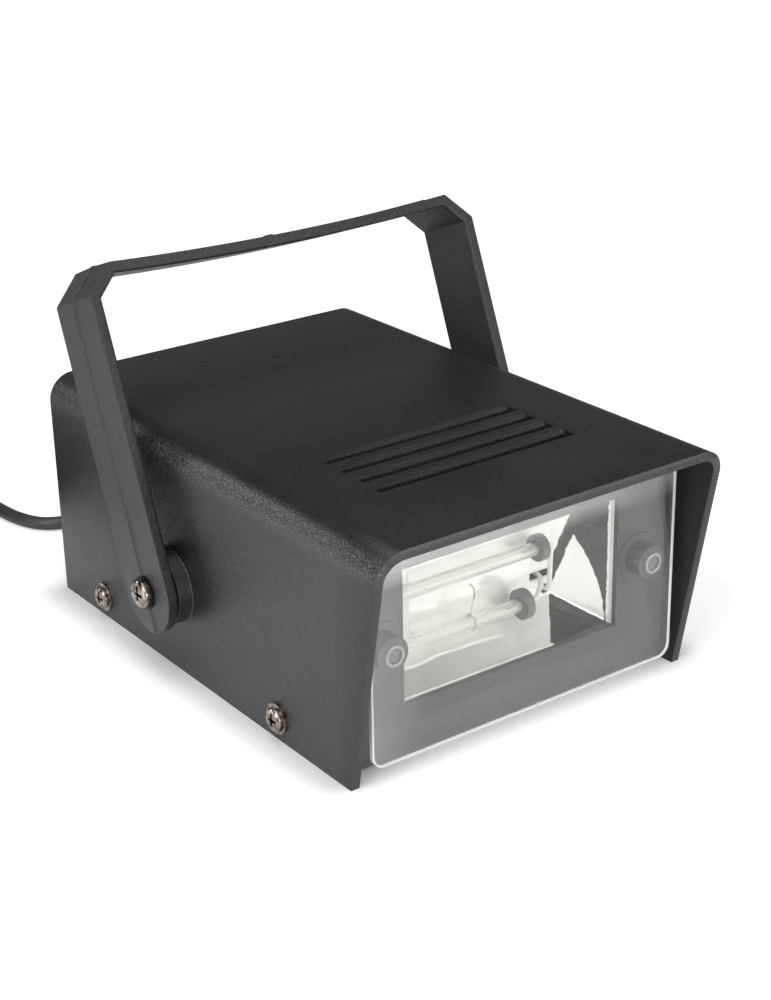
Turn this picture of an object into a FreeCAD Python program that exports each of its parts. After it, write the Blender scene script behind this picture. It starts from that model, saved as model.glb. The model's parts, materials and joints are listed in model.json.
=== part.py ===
"""Small xenon stroboscope: a moulded hood over a tray, with a flash tube behind a clear plate.

Millimetres.  X runs across the lamp, +Y to its rear, +Z up.  The origin is on the surface that
the lamp stands on, midway between its sides and midway between the visor's lip and the knob's face.
Every function returns the shape of one piece, and the loop at the end writes one file per piece.
"""
import FreeCAD, Part
import math
import os
from FreeCAD import Vector

# --- hood -----------------------------------------------------------------------------------
HOOD_WIDTH = 130.0
HOOD_HEIGHT = 79.0
HOOD_FOOT = 173.5          # length of each side wall where it stands on the table
HOOD_WALL = 3.0
HOOD_EDGE_RADIUS = 9.0     # outer rounding of the two long upper edges
OVERHANG = 15.5            # reach of the visor's lip in front of the feet, and of the knob behind
VENT_COUNT = 4
VENT_LENGTH = 74.0
VENT_WIDTH = 4.5
VENT_PITCH = 9.15
VENT_BACK_Y = -33.9        # rear edge of the rearmost vent
PIVOT_Y = 9.6
PIVOT_Z = 30.1
PIVOT_BOSS_RADIUS = 12.4
PIVOT_BOSS_LENGTH = 5.2

# --- handle ---------------------------------------------------------------------------------
HANDLE_LENGTH = 103.0      # pivot to the outer face of the crossbar
HANDLE_THICKNESS = 4.0
HANDLE_WIDTH_TOP = 25.9
HANDLE_WIDTH_PIVOT = 27.6
HANDLE_CHAMFER = 9.5       # each outer corner, along the crossbar and along the arm
HANDLE_INNER_SHIFT = 1.3   # how much further the inner corner's chamfer stands off
HANDLE_SAG = 1.9           # bow of the crossbar towards the lamp
HANDLE_DRAFT = 0.35        # fall of the outer face from its middle line to its edges
HANDLE_RIM = 1.5           # width of the rib left along the front edge of the inner side
HANDLE_RECESS = 1.0        # depth of the inner side behind that rib
HANDLE_PAD = 17.0          # height above the pivot at which the recess begins
HANDLE_TILT = 21.3         # degrees backwards from upright, as it stands
GATE_RADIUS = 1.75         # small moulding nub on the crossbar
GATE_HEIGHT = 0.8

# --- pivots ---------------------------------------------------------------------------------
PIVOT_SCREW_RADIUS = 2.5
PIVOT_HEAD_RADIUS = 4.8
PIVOT_HEAD_HEIGHT = 2.3
PIVOT_SCREW_LENGTH = 19.0
WASHER_RADIUS = 5.4
WASHER_THICKNESS = 0.7
FRICTION_RADIUS = 9.0
FRICTION_THICKNESS = 0.7
NUT_FLATS = 8.0
NUT_THICKNESS = 4.0
NUT_SEAT = 1.5             # plastic left between the nut's pocket and the hood's outer face
NUT_HOUSING_RADIUS = 7.0

# --- screws that hold the hood to the tray ----------------------------------------------------
HOOD_SCREW_YS = (57.5, -49.5)
HOOD_SCREW_Z = 7.5
HOOD_SCREW_RADIUS = 1.75
HOOD_SCREW_LENGTH = 11.0
HOOD_SCREW_FLANGE_RADIUS = 5.0
HOOD_SCREW_FLANGE_THICKNESS = 0.9
HOOD_SCREW_DOME_RADIUS = 3.75
HOOD_SCREW_DOME_HEIGHT = 1.7
TRAY_BOSS_RADIUS = 4.2
TRAY_BOSS_LENGTH = 10.0

# --- tray -----------------------------------------------------------------------------------
TRAY_GAP = 0.4             # between the tray and the inside of the hood
FLOOR_HEIGHT = 1.2         # underside of the tray's floor above the table
FLOOR_THICKNESS = 2.5
TRAY_SIDE_HEIGHT = 14.0
TRAY_SIDE_THICKNESS = 2.0
BEZEL_SETBACK = 6.25       # bezel's face behind the front end of the hood's feet
BEZEL_THICKNESS = 2.5
WINDOW_WIDTH = 83.0
WINDOW_HEIGHT = 43.5
PANEL_SETBACK = 4.0        # rear panel's face inside the hood's rear edge
PANEL_THICKNESS = 2.0

# --- clear front plate ------------------------------------------------------------------------
LENS_SIDE_GAP = 3.5        # between the plate's side edges and the hood's cheeks
LENS_MARGIN = 5.0          # from the plate's lower edge to the table and from its upper to the roof
LENS_THICKNESS = 2.0
LENS_CORNER = 4.5
LENS_STANDOFF = 6.5        # air between the plate and the bezel
LENS_PIN_INSET = 8.5       # from the plate's side edge
LENS_PIN_RADIUS = 2.0
LENS_PIN_LENGTH = 5.0
LENS_BOSS_RADIUS = 5.4
LENS_BOSS_FOOT_RADIUS = 8.0
LENS_BOSS_FOOT_HEIGHT = 0.6

# --- reflector --------------------------------------------------------------------------------
SHEET = 0.5
REFLECTOR_DEPTH = 13.4
REFLECTOR_LAP = 0.7        # how far its mouth stands outside the window's edge
REFLECTOR_FLANGE = 4.0
REFLECTOR_BACK_WIDTH = 55.6
REFLECTOR_BACK_HEIGHT = 24.8
STAKE_RADIUS = 1.2         # plastic stakes of the bezel that hold the reflector's flange
STAKE_LENGTH = 1.6
STAKE_X = 30.0
LEAD_SLOT_X = 23.5
LEAD_SLOT_Z = 35.0
LEAD_SLOT_WIDTH = 7.5
LEAD_SLOT_HEIGHT = 2.6
LEAD_HOLE_X = 26.0
LEAD_HOLE_Z = 29.2
TUBE_LEAD_LANDING_XS = (34.0, 13.0)   # on the board, of the upper and the lower lead
TUBE_LEAD_INSET = 4.0      # of those landings from the board's front edge
TUBE_LEAD_RUN = 4.0        # straight run out of a bushing and behind the reflector's back
TUBE_LEAD_REACH = 9.0      # how far the leads hang forward of the board
TUBE_LEAD_RISE = 8.0       # above the board, where they turn down to it
TRIGGER_HOLE_X = -4.0
TRIGGER_HOLE_Z = 40.0

# --- flash tube -------------------------------------------------------------------------------
TUBE_RADIUS = 2.2
TUBE_WALL = 0.7
TUBE_PITCH = 17.3          # between the axes of the two limbs
TUBE_BEHIND_BEZEL = 7.0    # axis behind the bezel's rear face
TUBE_BEND_X = -42.0        # centre of the bend
TUBE_END_UPPER_X = 17.5
TUBE_END_LOWER_X = 11.3
TUBE_SEAL = 2.0
ELECTRODE_RADIUS = 0.5
ELECTRODE_LENGTH = 8.0
BUSHING_UPPER_RADIUS = 4.3
BUSHING_LOWER_RADIUS = 4.9
BUSHING_THICKNESS = 3.0
TRIGGER_WIRE_RADIUS = 0.25
TRIGGER_LOOP_X = -9.0

# --- circuit board ----------------------------------------------------------------------------
BOARD_WIDTH = 96.0
BOARD_DEPTH = 92.0
BOARD_THICKNESS = 1.6
BOARD_Y = 8.0
STANDOFF_HEIGHT = 6.0
STANDOFF_RADIUS = 3.2
STANDOFF_INSET = 5.0
BOARD_SCREW_RADIUS = 1.45
BOARD_SCREW_LENGTH = 6.0
BOARD_SCREW_HEAD_RADIUS = 2.8
BOARD_SCREW_HEAD_HEIGHT = 2.0
LEG_RADIUS = 0.35
LEG_STICKOUT = 1.0         # of a soldered leg below the board

CAPACITOR_RADIUS = 8.0
CAPACITOR_HEIGHT = 30.0
CAPACITOR_X = -33.0
CAPACITOR_YS = (-22.0, -2.0)
RESISTOR_BLOCK = (48.0, 9.5, 9.5)     # length, depth and height of the ceramic ballast
RESISTOR_BLOCK_LIFT = 3.0
RESISTOR_BLOCK_X = 12.0
RESISTOR_BLOCK_INSET = 14.0           # from the board's rear edge
FUSE_RADIUS = 2.5
FUSE_LENGTH = 20.0
FUSE_X = -31.0
FUSE_INSET = 16.0          # from the board's rear edge
FUSE_LIFT = 5.0
CLIP_WIDTH = 5.0
CLIP_SHEET = 0.4
DIODE_RADIUS = 1.35
DIODE_LENGTH = 5.2
DIODE_YS = (10.0, 17.0)
DIODE_X = -10.0
FILM_CAPACITOR = (18.0, 8.0, 13.0)
FILM_CAPACITOR_X = 2.0
FILM_CAPACITOR_Y = -24.0
COIL_CORE_RADIUS = 3.0
COIL_RADIUS = 5.5
COIL_FLANGE_RADIUS = 6.5
COIL_HEIGHT = 16.0
COIL_X = 22.0
COIL_Y = -22.0
THYRISTOR = (10.0, 4.5, 13.0)
THYRISTOR_X = 38.0
THYRISTOR_Y = -14.0
DIAC_RADIUS = 0.95
DIAC_LENGTH = 4.0
DIAC_X = 26.0
DIAC_Y = -2.0
RESISTOR_RADIUS = 1.2
RESISTOR_LENGTH = 6.3
RESISTOR_YS = (6.0, 12.0, 18.0, 24.0)
RESISTOR_X = 18.0
AXIAL_LIFT = 0.6           # air between an axial component and the board
AXIAL_OVERRUN = 2.5        # lead left straight at each end before it turns down

# --- speed control ----------------------------------------------------------------------------
KNOB_Z = 36.0
KNOB_RADIUS = 9.0
KNOB_GAP = 1.5             # knob's skirt off the rear panel
KNOB_ROUND = 1.2
KNOB_FLUTES = 24
KNOB_FLUTE_RADIUS = 0.7
KNOB_HOLLOW_RADIUS = 6.2
POT_RADIUS = 8.0
POT_DEPTH = 9.0
POT_WALL = 1.5
POT_BUSHING_RADIUS = 3.5
POT_BUSHING_LENGTH = 5.5   # measured from the panel's inner face
POT_NUT_FLATS = 10.0
POT_NUT_THICKNESS = 1.8
POT_SHAFT_RADIUS = 2.6
POT_COLLAR_RADIUS = 5.0
POT_COLLAR_THICKNESS = 2.0
POT_TERMINAL_PITCH = 5.0
POT_TERMINAL_WIDTH = 1.6
POT_TERMINAL_SETBACK = 4.4 # of the terminals' front side from the rear panel
POT_TERMINAL_DROP = 4.0    # of their tips below the case
POT_LEAD_SHIFT = 16.0      # of the cores' landings on the board, to the left of the terminals
POT_LEAD_INSET = 3.0       # of those landings from the board's rear edge
POT_LEAD_RISE = 9.0        # above the board, where the cores turn down to it

# --- mains lead -------------------------------------------------------------------------------
CORD_RADIUS = 2.5
RELIEF_X = 2.5
RELIEF_Z = 12.0
RELIEF_LENGTH = 16.0       # outside the rear panel
RELIEF_ROOT_RADIUS = 4.4
RELIEF_TIP_RADIUS = 3.1
RELIEF_FLANGE_RADIUS = 6.0
RELIEF_FLANGE_THICKNESS = 2.0
RELIEF_CATCH_RADIUS = 5.4
CORE_RADIUS = 0.8          # each insulated core inside the lamp
CORE_SPACING = 2.6         # between the two cores where they leave the sheath
CORE_STRAIGHT = 6.0        # before they part
CORE_SPREAD = 13.0         # each core's step sideways once they have parted
CORE_LANDING_XS = (-31.0, 38.0)       # on the board: beside the fuse and beside the ballast
CORE_LANDING_INSET = 8.0   # of those landings from the board's rear edge
CORE_RISE = 4.5            # above the board, where the cores turn down to it
COIL_OUTER_TURN = 33.0     # radius of the outermost turn of the stored coil
COIL_INNER_TURN = 23.6
COIL_LAYERS = 4
CORD_TURNS = 7.5
PLUG_WIDTH = 35.3
PLUG_HEIGHT = 13.7
PLUG_BODY_LENGTH = 18.0
PLUG_SHOULDER_LENGTH = 10.0
PLUG_TAIL_LENGTH = 11.0
PLUG_NECK = 10.0
PLUG_CORNER = 4.0
PLUG_PIN_RADIUS = 2.0
PLUG_PIN_LENGTH = 19.0
PLUG_SLEEVE_LENGTH = 10.0
PLUG_SLEEVE_STEP = 0.25    # the sleeved half of a pin is this much thinner, radially
PLUG_PIN_PITCH = 18.6

# --- fits -------------------------------------------------------------------------------------
RUNNING_FIT = 0.05         # radial, where a shaft turns in its hole
RUNNING_GAP = 0.1          # between flat faces that turn past each other
SEAT_FIT = 0.02            # radial, where a pin or screw stays put
HOLE_CLEARANCE = 0.25      # radial, for a screw through a cover
WIRE_CLEARANCE = 0.8       # radial, for a wire through the reflector

# --- places worked out from the sizes above ---------------------------------------------------
HOOD_BACK = HOOD_FOOT / 2
HOOD_FRONT_FOOT = -HOOD_FOOT / 2
HOOD_FRONT_LIP = HOOD_FRONT_FOOT - OVERHANG
INSIDE = HOOD_WIDTH / 2 - HOOD_WALL
TRAY_HALF = INSIDE - TRAY_GAP
TRAY_TOP = HOOD_HEIGHT - HOOD_WALL - TRAY_GAP
FLOOR_TOP = FLOOR_HEIGHT + FLOOR_THICKNESS
BEZEL_FRONT = HOOD_FRONT_FOOT + BEZEL_SETBACK
BEZEL_BACK = BEZEL_FRONT + BEZEL_THICKNESS
PANEL_BACK = HOOD_BACK - PANEL_SETBACK
PANEL_FRONT = PANEL_BACK - PANEL_THICKNESS
WINDOW_Z = HOOD_HEIGHT / 2
LENS_WIDTH = 2 * (INSIDE - LENS_SIDE_GAP)
LENS_HEIGHT = HOOD_HEIGHT - 2 * LENS_MARGIN
LENS_PIN_X = LENS_WIDTH / 2 - LENS_PIN_INSET
LENS_BACK = BEZEL_FRONT - LENS_STANDOFF
REFLECTOR_BACK = BEZEL_BACK + REFLECTOR_DEPTH
TUBE_Y = BEZEL_BACK + TUBE_BEHIND_BEZEL
TUBE_UPPER_Z = WINDOW_Z + TUBE_PITCH / 2
TUBE_LOWER_Z = WINDOW_Z - TUBE_PITCH / 2
BOARD_BOTTOM = FLOOR_TOP + STANDOFF_HEIGHT
BOARD_TOP = BOARD_BOTTOM + BOARD_THICKNESS
BOARD_FRONT_EDGE = BOARD_Y - BOARD_DEPTH / 2
BOARD_REAR_EDGE = BOARD_Y + BOARD_DEPTH / 2
RESISTOR_BLOCK_Y = BOARD_REAR_EDGE - RESISTOR_BLOCK_INSET
FUSE_Y = BOARD_REAR_EDGE - FUSE_INSET
ARM_INNER = HOOD_WIDTH / 2 + PIVOT_BOSS_LENGTH + FRICTION_THICKNESS + RUNNING_GAP
ARM_OUTER = ARM_INNER + HANDLE_THICKNESS
WASHER_X = ARM_OUTER + RUNNING_GAP
KNOB_FACE = HOOD_BACK + OVERHANG
KNOB_BACK = PANEL_BACK + KNOB_GAP
RELIEF_TIP = PANEL_BACK + RELIEF_LENGTH
STANDOFFS = [
    (side * (BOARD_WIDTH / 2 - STANDOFF_INSET), BOARD_Y + end * (BOARD_DEPTH / 2 - STANDOFF_INSET))
    for side in (-1, 1)
    for end in (-1, 1)
]

# The lead leaves the strain relief, sinks to the table and swings out past the lamp's left side.
CORD_ROUTE = [
    Vector(RELIEF_X, RELIEF_TIP, RELIEF_Z),
    Vector(2.5, 112.7, 11.2),
    Vector(-3.7, 125.5, 8.4),
    Vector(-15.2, 133.8, 5.2),
    Vector(-29.3, 135.8, 3.1),
    Vector(-42.6, 140.7, 2.5),
    Vector(-52.0, 151.3, 2.5),
    Vector(-55.3, 165.2, 2.5),
    Vector(-55.3, 179.0, 2.5),
]
COIL_CENTRE = Vector(-88.3, 184.0, 0)
# From the coil's top layer the lead drops to the plug, which lies flat beside the coil.
PLUG_ROUTE = [
    Vector(-121.3, 183.0, 17.5),
    Vector(-121.8, 171.5, 15.8),
    Vector(-121.8, 160.0, 10.4),
    Vector(-121.3, 148.5, PLUG_HEIGHT / 2),
]

# Where soldered legs and cores pass through the board, filled in by the functions that make them.
board_holes = []


# --- shared shapes ----------------------------------------------------------------------------
def block(x_range, y_range, z_range):
    """Box between two values on each axis."""
    size = [high - low for low, high in (x_range, y_range, z_range)]
    return Part.makeBox(*size, Vector(x_range[0], y_range[0], z_range[0]))


def rod(radius, start, end):
    """Cylinder from one point to another."""
    return Part.makeCylinder(radius, (end - start).Length, start, end - start)


def along_x(radius, x_from, x_to, y, z):
    return rod(radius, Vector(x_from, y, z), Vector(x_to, y, z))


def along_y(radius, y_from, y_to, x, z):
    return rod(radius, Vector(x, y_from, z), Vector(x, y_to, z))


def along_z(radius, z_from, z_to, x, y):
    return rod(radius, Vector(x, y, z_from), Vector(x, y, z_to))


def fused(shapes):
    """Several touching shapes as one solid."""
    return shapes[0].multiFuse(shapes[1:]).removeSplitter()


def outline(points):
    """Closed wire through points; a pair (middle, end) in the list makes an arc to end."""
    edges = []
    here = points[0]
    for item in points[1:] + points[:1]:
        if isinstance(item, tuple):
            middle, end = item
            edges.append(Part.Arc(here, middle, end).toShape())
        elif not item.isEqual(here, 1e-6):
            end = item
            edges.append(Part.LineSegment(here, end).toShape())
        here = end
    return Part.Wire(edges)


def arch(half_width, bottom, top, radius, y_from, y_to):
    """Bar along Y whose section is a rectangle with both upper corners rounded."""
    slope = radius * (1 - math.sqrt(0.5))
    flat = half_width - radius
    section = outline([
        Vector(-half_width, y_from, bottom),
        Vector(half_width, y_from, bottom),
        Vector(half_width, y_from, top - radius),
        (Vector(half_width - slope, y_from, top - slope), Vector(flat, y_from, top)),
        Vector(-flat, y_from, top),
        (Vector(slope - half_width, y_from, top - slope), Vector(-half_width, y_from, top - radius)),
    ])
    return Part.Face(section).extrude(Vector(0, y_to - y_from, 0))


def rounded_rectangle(width, height, corner, centre):
    """Wire in a plane across Y, with four rounded corners."""
    w = width / 2
    h = height / 2
    slope = corner * (1 - math.sqrt(0.5))

    def at(x, z):
        return centre + Vector(x, 0, z)

    return outline([
        at(corner - w, -h),
        at(w - corner, -h),
        (at(w - slope, slope - h), at(w, corner - h)),
        at(w, h - corner),
        (at(w - slope, h - slope), at(w - corner, h)),
        at(corner - w, h),
        (at(slope - w, h - slope), at(-w, h - corner)),
        at(-w, corner - h),
        (at(slope - w, slope - h), at(corner - w, -h)),
    ])


def rectangle(width, height, centre):
    """Wire in a plane across Y, with square corners."""
    w = width / 2
    h = height / 2
    return outline([centre + Vector(x, 0, z) for x, z in ((-w, -h), (w, -h), (w, h), (-w, h))])


def hexagon(flats, thickness, start, direction):
    """Hexagonal bar of a given size across its flats."""
    corner = flats / math.sqrt(3)
    points = []
    for i in range(6):
        angle = math.radians(60 * i)
        points.append(Vector(corner * math.cos(angle), corner * math.sin(angle), 0))
    bar = Part.Face(outline(points)).extrude(Vector(0, 0, thickness))
    bar.Placement = FreeCAD.Placement(start, FreeCAD.Rotation(Vector(0, 0, 1), direction))
    return bar


def cross_recess(size, width, depth, face, inwards):
    """Tapered cross of a screw's drive, cut into a head from a point on its face."""
    tip = 0.35 * size
    arms = []
    for turn in (0, 90):
        arm = outline([
            Vector(-size / 2, 0, 0),
            Vector(size / 2, 0, 0),
            Vector(tip / 2, 0, depth),
            Vector(-tip / 2, 0, depth),
        ])
        arm = Part.Face(arm).extrude(Vector(0, width, 0))
        arm.translate(Vector(0, -width / 2, 0))
        arm.rotate(Vector(0, 0, 0), Vector(0, 0, 1), turn)
        arms.append(arm)
    recess = fused(arms)
    recess.Placement = FreeCAD.Placement(face, FreeCAD.Rotation(Vector(0, 0, 1), inwards))
    return recess


def cable(points, radius):
    """Round cable on straight runs joined by tangent arcs; gives the solid, its length, the radii.

    Each arc starts 0.45 of the shorter run from its corner, so its radius is that reach divided
    by the tangent of half the turn.
    """
    edges = []
    radii = []
    here = points[0]
    for before, corner, after in zip(points, points[1:], points[2:]):
        run_in = corner - before
        run_out = after - corner
        half_turn = run_in.getAngle(run_out) / 2
        reach = 0.45 * min(run_in.Length, run_out.Length)
        bend = reach / math.tan(half_turn)
        way_in = run_in.normalize()
        way_out = run_out.normalize()
        start = corner - way_in * reach
        end = corner + way_out * reach
        inwards = (way_out - way_in).normalize()
        middle = corner + inwards * (bend / math.cos(half_turn) - bend)
        edges.append(Part.LineSegment(here, start).toShape())
        edges.append(Part.Arc(start, middle, end).toShape())
        radii.append(bend)
        here = end
    edges.append(Part.LineSegment(here, points[-1]).toShape())
    path = Part.Wire(edges)
    ring = Part.Wire([Part.makeCircle(radius, points[0], points[1] - points[0])])
    solid = path.makePipeShell([ring], True, True)
    return solid, path.Length, radii


def board_legs(places, top):
    """Soldered legs from a height down through the board, each noted for its hole."""
    board_holes.extend((x, y, LEG_RADIUS) for x, y in places)
    return [along_z(LEG_RADIUS, BOARD_BOTTOM - LEG_STICKOUT, top, x, y) for x, y in places]


def axial(radius, length, x, y, turn=0.0):
    """Component with a round body lying above the board and a lead bent down at each end."""
    z = BOARD_TOP + AXIAL_LIFT + radius
    reach = length / 2 + AXIAL_OVERRUN
    way = Vector(math.cos(math.radians(turn)), math.sin(math.radians(turn)), 0)
    middle = Vector(x, y, z)
    ends = [middle - way * reach, middle + way * reach]
    shapes = [
        rod(radius, middle - way * (length / 2), middle + way * (length / 2)),
        rod(LEG_RADIUS, ends[0], ends[1]),
    ]
    shapes += [Part.makeSphere(LEG_RADIUS, end) for end in ends]
    shapes += board_legs([(end.x, end.y) for end in ends], z)
    return fused(shapes)


# --- housing ----------------------------------------------------------------------------------
def hood():
    """Inverted U with slanted cheeks in front, vents, pivot bosses and holes for its screws."""
    shell = arch(HOOD_WIDTH / 2, 0, HOOD_HEIGHT, HOOD_EDGE_RADIUS, HOOD_FRONT_LIP, HOOD_BACK)
    spare = 1.0
    hollow = arch(INSIDE, -spare, HOOD_HEIGHT - HOOD_WALL, HOOD_EDGE_RADIUS - HOOD_WALL,
                  HOOD_FRONT_LIP - spare, HOOD_BACK + spare)
    shell = shell.cut(hollow)
    lean = OVERHANG / HOOD_HEIGHT
    slant = outline([
        Vector(-HOOD_WIDTH, HOOD_FRONT_LIP, HOOD_HEIGHT),
        Vector(-HOOD_WIDTH, HOOD_FRONT_FOOT + lean * spare, -spare),
        Vector(-HOOD_WIDTH, HOOD_FRONT_LIP - spare, -spare),
        Vector(-HOOD_WIDTH, HOOD_FRONT_LIP - spare, HOOD_HEIGHT),
    ])
    shell = shell.cut(Part.Face(slant).extrude(Vector(2 * HOOD_WIDTH, 0, 0)))
    for i in range(VENT_COUNT):
        back = VENT_BACK_Y - i * VENT_PITCH
        shell = shell.cut(block((-VENT_LENGTH / 2, VENT_LENGTH / 2), (back - VENT_WIDTH, back),
                                (HOOD_HEIGHT - HOOD_WALL - spare, HOOD_HEIGHT + spare)))
    for side in (-1, 1):
        outer = side * HOOD_WIDTH / 2
        nut_face = outer - side * NUT_SEAT
        pocket_end = nut_face - side * NUT_THICKNESS
        boss = along_x(PIVOT_BOSS_RADIUS, side * INSIDE, outer + side * PIVOT_BOSS_LENGTH,
                       PIVOT_Y, PIVOT_Z)
        housing = along_x(NUT_HOUSING_RADIUS, side * INSIDE, pocket_end, PIVOT_Y, PIVOT_Z)
        shell = fused([shell, boss, housing])
        pocket = hexagon(NUT_FLATS + 2 * SEAT_FIT, NUT_THICKNESS + spare,
                         Vector(nut_face, PIVOT_Y, PIVOT_Z), Vector(-side, 0, 0))
        shell = shell.cut(pocket)
        shell = shell.cut(along_x(PIVOT_SCREW_RADIUS + SEAT_FIT, side * INSIDE / 2,
                                  outer + side * (PIVOT_BOSS_LENGTH + spare), PIVOT_Y, PIVOT_Z))
        for y in HOOD_SCREW_YS:
            shell = shell.cut(along_x(HOOD_SCREW_RADIUS + HOLE_CLEARANCE, side * (INSIDE - spare),
                                      outer + side * spare, y, HOOD_SCREW_Z))
    return shell


def hood_screws():
    """Four self-tapping screws with flanged, domed heads on the hood's sides."""
    screws = []
    for side in (-1, 1):
        way = Vector(side, 0, 0)
        for y in HOOD_SCREW_YS:
            seat = Vector(side * HOOD_WIDTH / 2, y, HOOD_SCREW_Z)
            flange_top = seat + way * HOOD_SCREW_FLANGE_THICKNESS
            crown = flange_top + way * HOOD_SCREW_DOME_HEIGHT
            flange = rod(HOOD_SCREW_FLANGE_RADIUS, seat, flange_top)
            shank = rod(HOOD_SCREW_RADIUS, seat - way * HOOD_SCREW_LENGTH, seat)
            dome = rod(HOOD_SCREW_DOME_RADIUS, flange_top, crown)
            rim = [edge for edge in dome.Edges if edge.BoundBox.Center.isEqual(crown, 0.01)]
            dome = dome.makeFillet(0.7 * HOOD_SCREW_DOME_HEIGHT, rim)
            head = fused([flange, dome, shank])
            drive = cross_recess(1.25 * HOOD_SCREW_DOME_RADIUS, 1.0, HOOD_SCREW_DOME_HEIGHT,
                                 crown, -way)
            screws.append(head.cut(drive))
    return Part.makeCompound(screws)


def tray():
    """Floor, low sides, front bezel and rear panel in one moulding, with its bosses."""
    bezel = arch(TRAY_HALF, FLOOR_HEIGHT, TRAY_TOP, HOOD_EDGE_RADIUS - HOOD_WALL - TRAY_GAP,
                 BEZEL_FRONT, BEZEL_BACK)
    panel = arch(TRAY_HALF, FLOOR_HEIGHT, TRAY_TOP, HOOD_EDGE_RADIUS - HOOD_WALL - TRAY_GAP,
                 PANEL_FRONT, PANEL_BACK)
    floor = block((-TRAY_HALF, TRAY_HALF), (BEZEL_FRONT, PANEL_BACK), (FLOOR_HEIGHT, FLOOR_TOP))
    shapes = [floor, bezel, panel]
    for side in (-1, 1):
        outer = side * TRAY_HALF
        wall = sorted((outer, outer - side * TRAY_SIDE_THICKNESS))
        shapes.append(block(wall, (BEZEL_FRONT, PANEL_BACK),
                            (FLOOR_HEIGHT, FLOOR_HEIGHT + TRAY_SIDE_HEIGHT)))
        for y in HOOD_SCREW_YS:
            shapes.append(along_x(TRAY_BOSS_RADIUS, outer, outer - side * TRAY_BOSS_LENGTH,
                                  y, HOOD_SCREW_Z))
        pin_x = side * LENS_PIN_X
        shapes.append(along_y(LENS_BOSS_RADIUS, LENS_BACK, BEZEL_FRONT, pin_x, WINDOW_Z))
        shapes.append(along_y(LENS_BOSS_FOOT_RADIUS, BEZEL_FRONT - LENS_BOSS_FOOT_HEIGHT,
                              BEZEL_FRONT, pin_x, WINDOW_Z))
        for z in stake_heights():
            shapes.append(along_y(STAKE_RADIUS, BEZEL_BACK, BEZEL_BACK + STAKE_LENGTH,
                                  side * STAKE_X, z))
    for x, y in STANDOFFS:
        shapes.append(along_z(STANDOFF_RADIUS, FLOOR_TOP, BOARD_BOTTOM, x, y))
    shape = fused(shapes)

    spare = 1.0
    shape = shape.cut(block((-WINDOW_WIDTH / 2, WINDOW_WIDTH / 2),
                            (BEZEL_FRONT - spare, BEZEL_BACK + spare),
                            (WINDOW_Z - WINDOW_HEIGHT / 2, WINDOW_Z + WINDOW_HEIGHT / 2)))
    for side in (-1, 1):
        shape = shape.cut(along_y(LENS_PIN_RADIUS + SEAT_FIT, LENS_BACK - spare,
                                  LENS_BACK + LENS_PIN_LENGTH + SEAT_FIT, side * LENS_PIN_X, WINDOW_Z))
        for y in HOOD_SCREW_YS:
            shape = shape.cut(along_x(HOOD_SCREW_RADIUS + SEAT_FIT, side * (TRAY_HALF + spare),
                                      side * (HOOD_WIDTH / 2 - HOOD_SCREW_LENGTH) - side * SEAT_FIT,
                                      y, HOOD_SCREW_Z))
    for x, y in STANDOFFS:
        shape = shape.cut(along_z(BOARD_SCREW_RADIUS + SEAT_FIT,
                                  BOARD_TOP - BOARD_SCREW_LENGTH - SEAT_FIT, BOARD_TOP, x, y))
    shape = shape.cut(along_y(POT_BUSHING_RADIUS + SEAT_FIT, PANEL_FRONT - spare,
                              PANEL_BACK + spare, 0, KNOB_Z))
    shape = shape.cut(along_y(RELIEF_ROOT_RADIUS + SEAT_FIT, PANEL_FRONT - spare,
                              PANEL_BACK + spare, RELIEF_X, RELIEF_Z))
    return shape


def lens():
    """Clear plate with rounded corners and two pins that press into the bezel's bosses."""
    front = LENS_BACK - LENS_THICKNESS
    plate = Part.Face(rounded_rectangle(LENS_WIDTH, LENS_HEIGHT, LENS_CORNER,
                                        Vector(0, front, WINDOW_Z)))
    shapes = [plate.extrude(Vector(0, LENS_THICKNESS, 0))]
    for side in (-1, 1):
        shapes.append(along_y(LENS_PIN_RADIUS, LENS_BACK, LENS_BACK + LENS_PIN_LENGTH,
                              side * LENS_PIN_X, WINDOW_Z))
    return fused(shapes)


# --- light source -----------------------------------------------------------------------------
def stake_heights():
    """Heights of the stakes above and below the window, in the middle of the flange."""
    rise = WINDOW_HEIGHT / 2 + REFLECTOR_LAP + REFLECTOR_FLANGE / 2
    return WINDOW_Z - rise, WINDOW_Z + rise


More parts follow.
